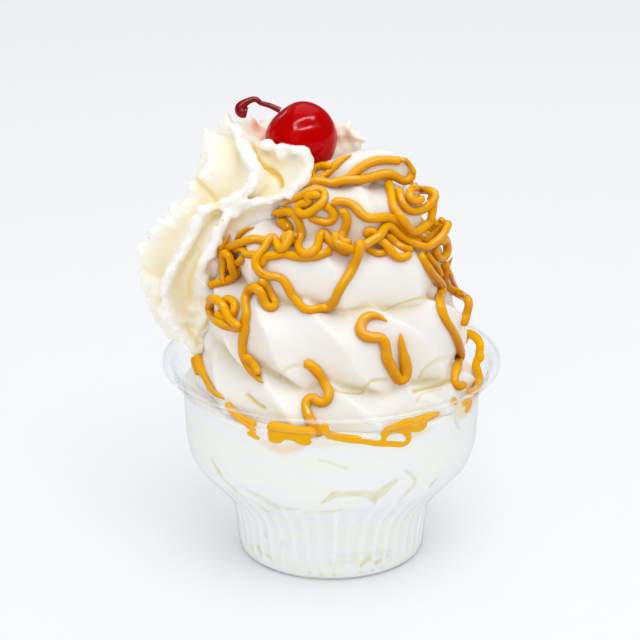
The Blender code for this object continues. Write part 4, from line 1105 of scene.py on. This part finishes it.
def make_filling():
    """The ice cream pressed against the cup's wall, reaching just into it, with the voids caught there."""
    base = WALL * 0.4
    heights = np.concatenate([[base, 0.5], np.arange(1.0, CONTACT_HEIGHT, FILLING_STEP), [CONTACT_HEIGHT]])
    turn = full_turn(FILLING_SIDES)
    rings = []
    for height in heights:
        reach = cup_radius(height) - flute_inset(turn, height) - 0.5 * WALL
        rings.append(level_ring(reach - FILLING_FOOT_INSET * (height < 1.0), height, turn))
    for inset, rise in FILLING_TOP:
        rings.append(level_ring(cup_radius(CONTACT_HEIGHT) - 0.5 * WALL - inset, CONTACT_HEIGHT + rise, turn))
    points, faces = capped_tube(np.array(rings), (0, 0, base), (0, 0, CONTACT_HEIGHT + 1))
    height = points[:, 2]
    azimuth = np.arctan2(points[:, 0], -points[:, 1])
    arc = azimuth * cup_radius(height)
    voids, sunk, smear = np.zeros((3, len(points)))
    for _, share, marks in VOIDS:
        mask = stroke_mask(arc, height, marks, VOID_BLUR)
        voids = np.maximum(voids, share * mask)
        sunk = np.maximum(sunk, mask)
    voids *= VOID_LUMPS[0] + VOID_LUMPS[1] * lumps(points, size=2.4, seed=41)
    for _, share, marks in SMEARS:
        smear = np.maximum(smear, share * stroke_mask(arc, height, marks, SMEAR_BLUR))
    rng = np.random.default_rng(RIB_SEED)
    strength = rng.uniform(*RIB_STRENGTHS, FLUTES)
    foot = rng.uniform(*RIB_FEET, FLUTES)
    number = np.round((azimuth - math.radians(FLUTE_PHASE)) * FLUTES / (2 * math.pi)).astype(int) % FLUTES
    # Painted highlight: a white line along each rib, of uneven strength and starting height.
    rib = rib_wave(np.arctan2(points[:, 1], points[:, 0])) ** RIB_POWER * strength[number]
    rib *= fade(height - foot[number], span=0.5) * fade(FLUTE_HEAD - height, span=6.0)
    inward = VOID_DEPTH * sunk / np.maximum(np.hypot(points[:, 0], points[:, 1]), 1.0)
    points[:, :2] *= (1 - inward)[:, None]
    filling = piece_from("soft_serve_filling", points, faces)
    for name, values in (("void", voids), ("rib", rib), ("sauce_smear", smear)):
        paint(filling.data, name, values)
    face_outward(filling.data)
    return filling


# ---------------------------------------------------------------- whipped cream
def toward(start, end, length):
    """Steps of a length from the points of one path towards those of another."""
    gap = end - start
    return length * gap / np.linalg.norm(gap, axis=1)[:, None]


def cream_rings():
    """Rings round the dollop: a rounded edge at each fin's crest, hollow between two crests."""
    core = catmull(CREAM_CORE, CREAM_ROWS)
    crests = [catmull(points, CREAM_ROWS) for _, _, _, points in FINS]
    columns = []
    for k, (_, thick, hollow, _) in enumerate(FINS):
        onto = (k + 1) % len(FINS)
        here, there, next_thick = crests[k], crests[onto], FINS[onto][1]
        onward = toward(here, there, 0.5 * thick)
        backward = toward(here, crests[k - 1], 0.5 * thick)
        outward = toward(core, here, 0.5 * thick)
        for j in range(EDGE_SIDES):
            turn = math.pi * (j / EDGE_SIDES)
            side = backward * max(math.cos(turn), 0) + onward * max(-math.cos(turn), 0)
            columns.append(here + side + outward * (math.sin(turn) - EDGE_SINK) * EDGE_HEIGHT)
        inset = EDGE_SINK * EDGE_HEIGHT
        start = here + onward - inset * outward
        end = there + toward(there, here, 0.5 * next_thick) - toward(core, there, 0.5 * inset * next_thick)
        middle = 0.5 * (start + end)
        valley = middle + hollow * (core - middle)
        control = 2 * valley - middle
        for j in range(FIN_SIDES):
            t = j / FIN_SIDES
            even = start * (1 - t) ** 2 + 2 * control * t * (1 - t) + end * t ** 2
            fold = start + (valley - start) * 2 * t if t < 0.5 else valley + (end - valley) * (2 * t - 1)
            columns.append(even + CREASE_SHARE * (fold - even))
    return np.array(columns).transpose(1, 0, 2)


def torn_edges():
    """Beads along every crest, and broken clumps, mostly at the foot, where the foam tore."""
    rng = np.random.default_rng(5)
    core = catmull(CREAM_CORE, count=40)
    centres, radii = [], []
    for _, _, _, points in FINS:
        path = stepped(points, EDGE_BEAD_STEP)
        for i, place in enumerate(path):
            inward = core[int((len(core) - 1) * i / len(path))] - place
            inward /= np.linalg.norm(inward)
            centres.append(place + inward * rng.uniform(0.3, 1.3) + rng.normal(0.0, 0.3, 3))
            radii.append(rng.uniform(1.1, 1.8))
    for place, spread, count, low, high in CREAM_CLUMPS:
        for _ in range(count):
            centres.append(np.array(place) + rng.normal(0.0, 1.0, 3) * np.array(spread))
            radii.append(rng.uniform(low, high))
    return crumbs(centres, radii)


def make_whipped_cream():
    bodies = joined([capped_tube(cream_rings(), CREAM_TOP, CREAM_FOOT), torn_edges()])
    cream = piece_from("whipped_cream_fins", *bodies, facing=True)
    fuse(cream, CREAM_VOXEL)
    mesh = cream.data
    keep_largest(mesh)
    points = smooth(mesh, rounds=4)
    crests = np.vstack([catmull(curve, count=120) for _, _, _, curve in FINS])
    edge = np.exp(-(distance_to(crests, points) / CREAM_EDGE_REACH) ** 2)
    torn = np.maximum(edge, fade(CREAM_FOOT_TOP - points[:, 2], span=8.0))
    rough = sum((least + more * torn) * lumps(points, size, seed) for least, more, size, seed in CREAM_LUMPS)
    # Painted shade: yellow in the hollows, less near the crests; the creases add more, and the fold shade.
    hollow = hollowness(mesh, rounds=60, reach=2.0) * (1 - 0.8 * edge)
    fold = np.zeros(len(points))
    tree = tree_of(mesh)
    for depth, yellow, near in creases(CREAM_CREASES, tree, points):
        rough -= depth * near
        hollow = np.maximum(hollow, yellow * near)
        fold = np.maximum(fold, np.clip(yellow * near * 1.6 - 0.6, 0.0, 1.0))
    drip = distance_to(landed(CREAM_JUICE_STROKE, tree), points)
    points += normals(mesh) * rough[:, None]
    set_vertices(mesh, points)
    mesh.shade_smooth()
    fruit = np.clip(np.linalg.norm(points - np.array(CHERRY_CENTRE), axis=1) - CHERRY_RADIUS, 0.0, None)
    patches = np.clip(lumps(points, size=1.8, seed=24) + 0.6, 0.0, 1.0)
    right = points[:, 0] > CHERRY_CENTRE[0]
    blush = patches * (0.45 * np.exp(-(fruit / 5.0) ** 2) * right + 0.8 * np.exp(-(drip / 1.6) ** 2))
    juice = np.clip(0.6 * np.exp(-fruit ** 1.3) + blush, 0.0, 1.0)
    for name, values in (("hollow", hollow), ("fold", fold), ("edge", edge), ("cherry_juice", juice)):
        paint(mesh, name, values)
    return cream


# ---------------------------------------------------------------- cherry
def make_cherry():
    """A pitted cherry: nearly a sphere, a little tall, with a dimple where the stem sits."""
    mesh = bpy.data.meshes.new("cherry_fruit")
    edit(mesh, lambda bm: bmesh.ops.create_uvsphere(bm, u_segments=96, v_segments=64, radius=CHERRY_RADIUS))
    points = read_vectors(mesh.vertices, "co")
    lean = np.array(STEM_LEAN) / np.linalg.norm(STEM_LEAN)
    angle = np.arccos(np.clip(unit(points) @ lean, -1.0, 1.0))
    reach = 1 - DIMPLE_DEPTH * np.exp(-(angle / DIMPLE_WIDTH) ** 2) / CHERRY_RADIUS
    points *= reach[:, None]
    points[:, 2] *= CHERRY_HEIGHT_SCALE
    set_vertices(mesh, points + np.array(CHERRY_CENTRE))
    mesh.shade_smooth()
    return new_piece("cherry_fruit", mesh)


def make_stalk():
    route = catmull(STEM_POINTS, count=60)
    rings = tube_rings(route[:, :3], route[:, 3], sides=16)
    return piece_from("cherry_stalk", *capped_tube(rings, route[0, :3], route[-1, :3]), facing=True)


# ---------------------------------------------------------------- caramel sauce
def eased(values, spread):
    """Values along an evenly stepped path, averaged over a bell of the given spread in mm."""
    spread = spread / STRAND_STEP
    reach = int(3 * spread) + 1
    bell = np.exp(-0.5 * (np.arange(-reach, reach + 1) / spread) ** 2)
    bell /= bell.sum()
    flat = values.reshape(len(values), -1)
    padded = np.vstack([np.repeat(flat[:1], reach, axis=0), flat, np.repeat(flat[-1:], reach, axis=0)])
    return np.column_stack([np.convolve(column, bell, "valid") for column in padded.T]).reshape(values.shape)


def rest_on(path, outward, thickness, laid):
    """Raise a strand where it crosses others or itself, so that it lies on top."""
    width = STRAND_TOUCH * thickness
    own_skip = int(STRAND_OWN * thickness / STRAND_STEP)
    lift = np.zeros(len(path))
    for i, (point, out) in enumerate(zip(path, outward)):
        others = np.vstack(laid + [(path + outward * lift[:, None])[:max(i - own_skip, 0)]])
        gap = others - point
        rise = gap @ out
        aside = (gap * gap).sum(axis=1) - rise ** 2
        near = (aside < width ** 2) & (rise > -width) & (rise < STRAND_PILE)
        if near.any():
            lift[i] = max(0.0, (rise[near] + np.sqrt(width ** 2 - aside[near])).max())
    return path + outward * eased(lift, spread=1.3)[:, None]


def draped(origins, directions, tree, thickness, laid):
    """Lay a strand on the ice cream: it bridges creases and rests on the strands under it."""
    reach, faces = thrown(origins, directions, tree)
    reach = np.minimum(reach, eased(reach, spread=2.0))
    reach = eased(reach, spread=0.6)
    outward = unit(eased(faces, spread=2.0) - directions * 0.4)
    path = origins + directions * reach[:, None] + outward * 0.5 * thickness
    return rest_on(path, outward, thickness, laid)


def from_front(azimuth, radius, height):
    """Points round the axis, their azimuths measured from the front."""
    return np.column_stack([radius * np.sin(azimuth), -radius * np.cos(azimuth), height])


def round_path(points, share):
    """Marks (azimuth in degrees, height, ...) as an even path; a degree counts as the share of a mm."""
    path = stepped([(azimuth * share, *rest) for azimuth, *rest in points], STRAND_STEP)
    return np.radians(path[:, 0] / share), path[:, 1:]


def side_strand(points, tree, thickness, laid):
    """A strand drawn as azimuths from the front and heights, thrown level towards the axis."""
    azimuth, rest = round_path(points, SIDE_DEGREE)
    outward = from_front(azimuth, 1.0, np.zeros(len(azimuth)))
    return draped(from_front(azimuth, 80.0, rest[:, 0]), -outward, tree, thickness, laid)


def on_wall(points, thickness):
    """A strand pressed against the inside of the wall, or lying at the radius its marks give."""
    azimuth, rest = round_path(points, WALL_DEGREE)
    height = rest[:, 0]
    reach = rest[:, 1] if rest.shape[1] > 1 else cup_radius(height) - WALL - 0.35 * thickness
    return from_front(azimuth, reach, height)


def strand_radii(path, thickness, tapered, seed):
    """An uneven thickness along the strand, closing round or to a point at each end."""
    away = np.arange(len(path)) * STRAND_STEP
    along = np.column_stack([away, np.zeros((len(path), 2))])
    radii = thickness * (1 + 0.09 * lumps(along, 4.0, seed) + 0.05 * lumps(along, 1.5, seed + 1))
    for end, from_end in (("start", away), ("end", away[::-1])):
        pointed = tapered in (end, "both")
        t = fade(from_end, (POINTED_END if pointed else ROUND_END) * thickness)
        radii *= END_SHARE + (1 - END_SHARE) * (t ** 0.8 if pointed else np.sqrt(1 - (1 - t) ** 2))
    return radii


def back_strands():
    """Loops squeezed round the sides and back at the height of the front tangle, and what fell from them."""
    rng = np.random.default_rng(11)
    strands = []
    for start, end, height, swing, loops in BACK_LOOPS:
        turn = np.linspace(0.0, 1.0, loops * 8)
        wobble = 2 * math.pi * loops * turn + rng.uniform(0, 6)
        uneven = 1 + 0.35 * np.sin(wobble * 0.37 + rng.uniform(0, 6))
        azimuth = start + (end - start) * turn + 5.5 * uneven * np.cos(wobble)
        heights = height + swing * uneven * np.sin(wobble) + 1.5 * np.sin(3.1 * turn + rng.uniform(0, 6))
        strands.append(list(zip(azimuth, heights)))
    for azimuth, top, low in BACK_FALLS:
        turn = np.linspace(0.0, 1.0, 9)
        sway = azimuth + 7 * np.sin(5 * turn + rng.uniform(0, 6)) + rng.uniform(-2, 2, 9)
        strands.append(list(zip(sway, top + (low - top) * turn)))
    return strands


def inside_wall(points):
    """Sauce below the rim, pressed flat where it would pass through the wall."""
    limit = cup_radius(points[:, 2]) - 0.3 * WALL
    radius = np.hypot(points[:, 0], points[:, 1])
    shrink = np.where(points[:, 2] < WALL_TOP, np.minimum(1.0, limit / radius), 1.0)
    points[:, :2] *= shrink[:, None]
    return points


def sauce_piece(name, strands, fused=False):
    """Strands, each a path and its radii, as round cords lying on one another, or fused into one skin."""
    cords = [capped_tube(tube_rings(path[::2], radii[::2], STRAND_SIDES), path[0], path[-1])
             for path, radii in strands]
    piece = piece_from(name, *joined(cords), facing=True)
    if fused:
        fuse(piece, STRAND_VOXEL)
        smooth(piece.data, rounds=2)
    set_vertices(piece.data, inside_wall(vertices(piece.data)))
    piece.data.shade_smooth()
    return piece


def make_sauce(tree):
    """All the strands: those in front, those round the back and those on the wall."""
    laid = [np.array([(0.0, 0.0, -500.0)])]

    def lay(path, thickness, tapered, seed):
        laid.append(path[::2])
        return path, strand_radii(path, thickness, tapered, seed)

    front, back, wall = [], [], []
    for seed, (_, share, tapered, points) in enumerate(SAUCE_STRANDS, 100):
        thickness = share * STRAND_RADIUS
        front.append(lay(draped(*eye_rays(points), tree, thickness, laid), thickness, tapered, seed))
    for seed, points in enumerate(back_strands(), 200):
        back.append(lay(side_strand(points, tree, STRAND_RADIUS, laid), STRAND_RADIUS, "end", seed))
    for first_seed, table in ((300, WALL_STRANDS), (400, LEDGE_STRANDS)):
        for seed, (_, share, points) in enumerate(table, first_seed):
            thickness = share * STRAND_RADIUS
            wall.append(lay(on_wall(points, thickness), thickness, "", seed))
    pieces = [sauce_piece("caramel_strands_front", front), sauce_piece("caramel_strands_back", back),
              sauce_piece("caramel_against_wall", wall, fused=True)]
    return pieces, np.vstack([path[radii > STAIN_RADIUS] for path, radii in front + back + wall])


def stain_from(centres, points):
    """How much of the sauce's colour has bled into the surface, fading within about a millimetre."""
    beyond = np.clip(distance_to(centres, points) - STAIN_START, 0.0, None)
    return STAIN_SHARE * np.exp(-(beyond / 0.5) ** 1.5)


# ---------------------------------------------------------------- stage
def make_stage():
    mesh = bpy.data.meshes.new("floor")
    edit(mesh, lambda bm: bmesh.ops.create_grid(bm, x_segments=1, y_segments=1, size=FLOOR_HALF))
    floor = new_piece("floor", mesh)
    floor.data.materials.append(table_finish())


def make_camera():
    camera = new_piece("camera", bpy.data.cameras.new("camera"))
    tilt = math.radians(CAMERA_ELEVATION)
    camera.location = (CAMERA_AIM[0] * MM, (CAMERA_AIM[1] - CAMERA_DISTANCE * math.cos(tilt)) * MM,
                       (CAMERA_AIM[2] + CAMERA_DISTANCE * math.sin(tilt)) * MM)
    camera.rotation_euler = (math.pi / 2 - tilt, 0.0, 0.0)
    camera.data.sensor_width = 36.0
    camera.data.lens = CAMERA_LENS
    camera.data.clip_start = 0.01
    bpy.context.scene.camera = camera


def softbox(name, size, power, place, lights=True, shines=True):
    """An area lamp aimed at the object, its size in metres (across, along). It can be kept from
    lighting surfaces, or from showing in their gloss."""
    lamp = bpy.data.lights.new(name, "AREA")
    lamp.energy = power
    lamp.shape = "RECTANGLE"
    lamp.size, lamp.size_y = size
    box = new_piece(name, lamp)
    box.visible_diffuse = lights
    box.visible_glossy = shines
    box.location = place
    box.rotation_euler = (Vector(LIGHT_AIM) - Vector(place)).to_track_quat("-Z", "Y").to_euler()


def make_light():
    world = bpy.data.worlds.new("studio")
    bpy.context.scene.world = world
    world.use_nodes = True
    tree = world.node_tree
    glossy = add(tree, "LightPath").outputs["Is Glossy Ray"]
    strength = calculate(tree, "MULTIPLY_ADD", glossy, SKY_IN_GLOSS - SKY, SKY)
    set_shader(tree, tree.nodes["Background"], {"Color": hex_colour("FAFBFD"), "Strength": strength})
    softbox("overhead", (0.9, 0.9), 1.0, (0.05, 0.2, 1.0))
    softbox("key", (0.6, 0.6), 2.0, (0.12, -0.43, 0.97), shines=False)
    for name, size, place in WINDOW_BARS:
        softbox(name, size, WINDOW_GLOW * size[0] * size[1], place, lights=False)
    softbox("front", (0.6, 0.6), 0.5, (-0.35, -0.9, 0.45))
    softbox("ceiling", (1.2, 1.2), 4.0, (0.1, 0.7, 1.2), lights=False)
    bpy.context.scene.view_settings.view_transform = "Standard"


def dress(piece, material, node=None):
    """Give the piece its material and its body, and hide the model's part that it stands for, if any."""
    piece.data.materials.clear()
    piece.data.materials.append(material)
    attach(piece, BODY)
    if node:
        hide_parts(node)


def build():
    make_camera()
    make_light()
    make_stage()
    cup = make_cup()
    swirl = make_swirl()
    filling = make_filling()
    cream = make_whipped_cream()
    cherry = make_cherry()
    stalk = make_stalk()
    (front, back, pressed), centres = make_sauce(tree_of(swirl.data))
    paint(swirl.data, "sauce_stain", stain_from(centres, vertices(swirl.data)))
    caramel = caramel_finish("thick_caramel_sauce", 0.22, "CE8000")
    dress(front, caramel)
    dress(back, caramel)
    dress(pressed, caramel_finish("pressed_caramel_sauce", 0.04, "F8B200"))
    dress(cup, clear_pet(), "cup")
    dress(swirl, soft_serve_finish(), "soft_serve")
    dress(filling, pressed_soft_serve_finish(), "soft_serve")
    dress(cream, whipped_cream_finish(), "whipped_cream")
    dress(cherry, cherry_finish(), "cherry")
    dress(stalk, stalk_finish(), "cherry_stem")


build()
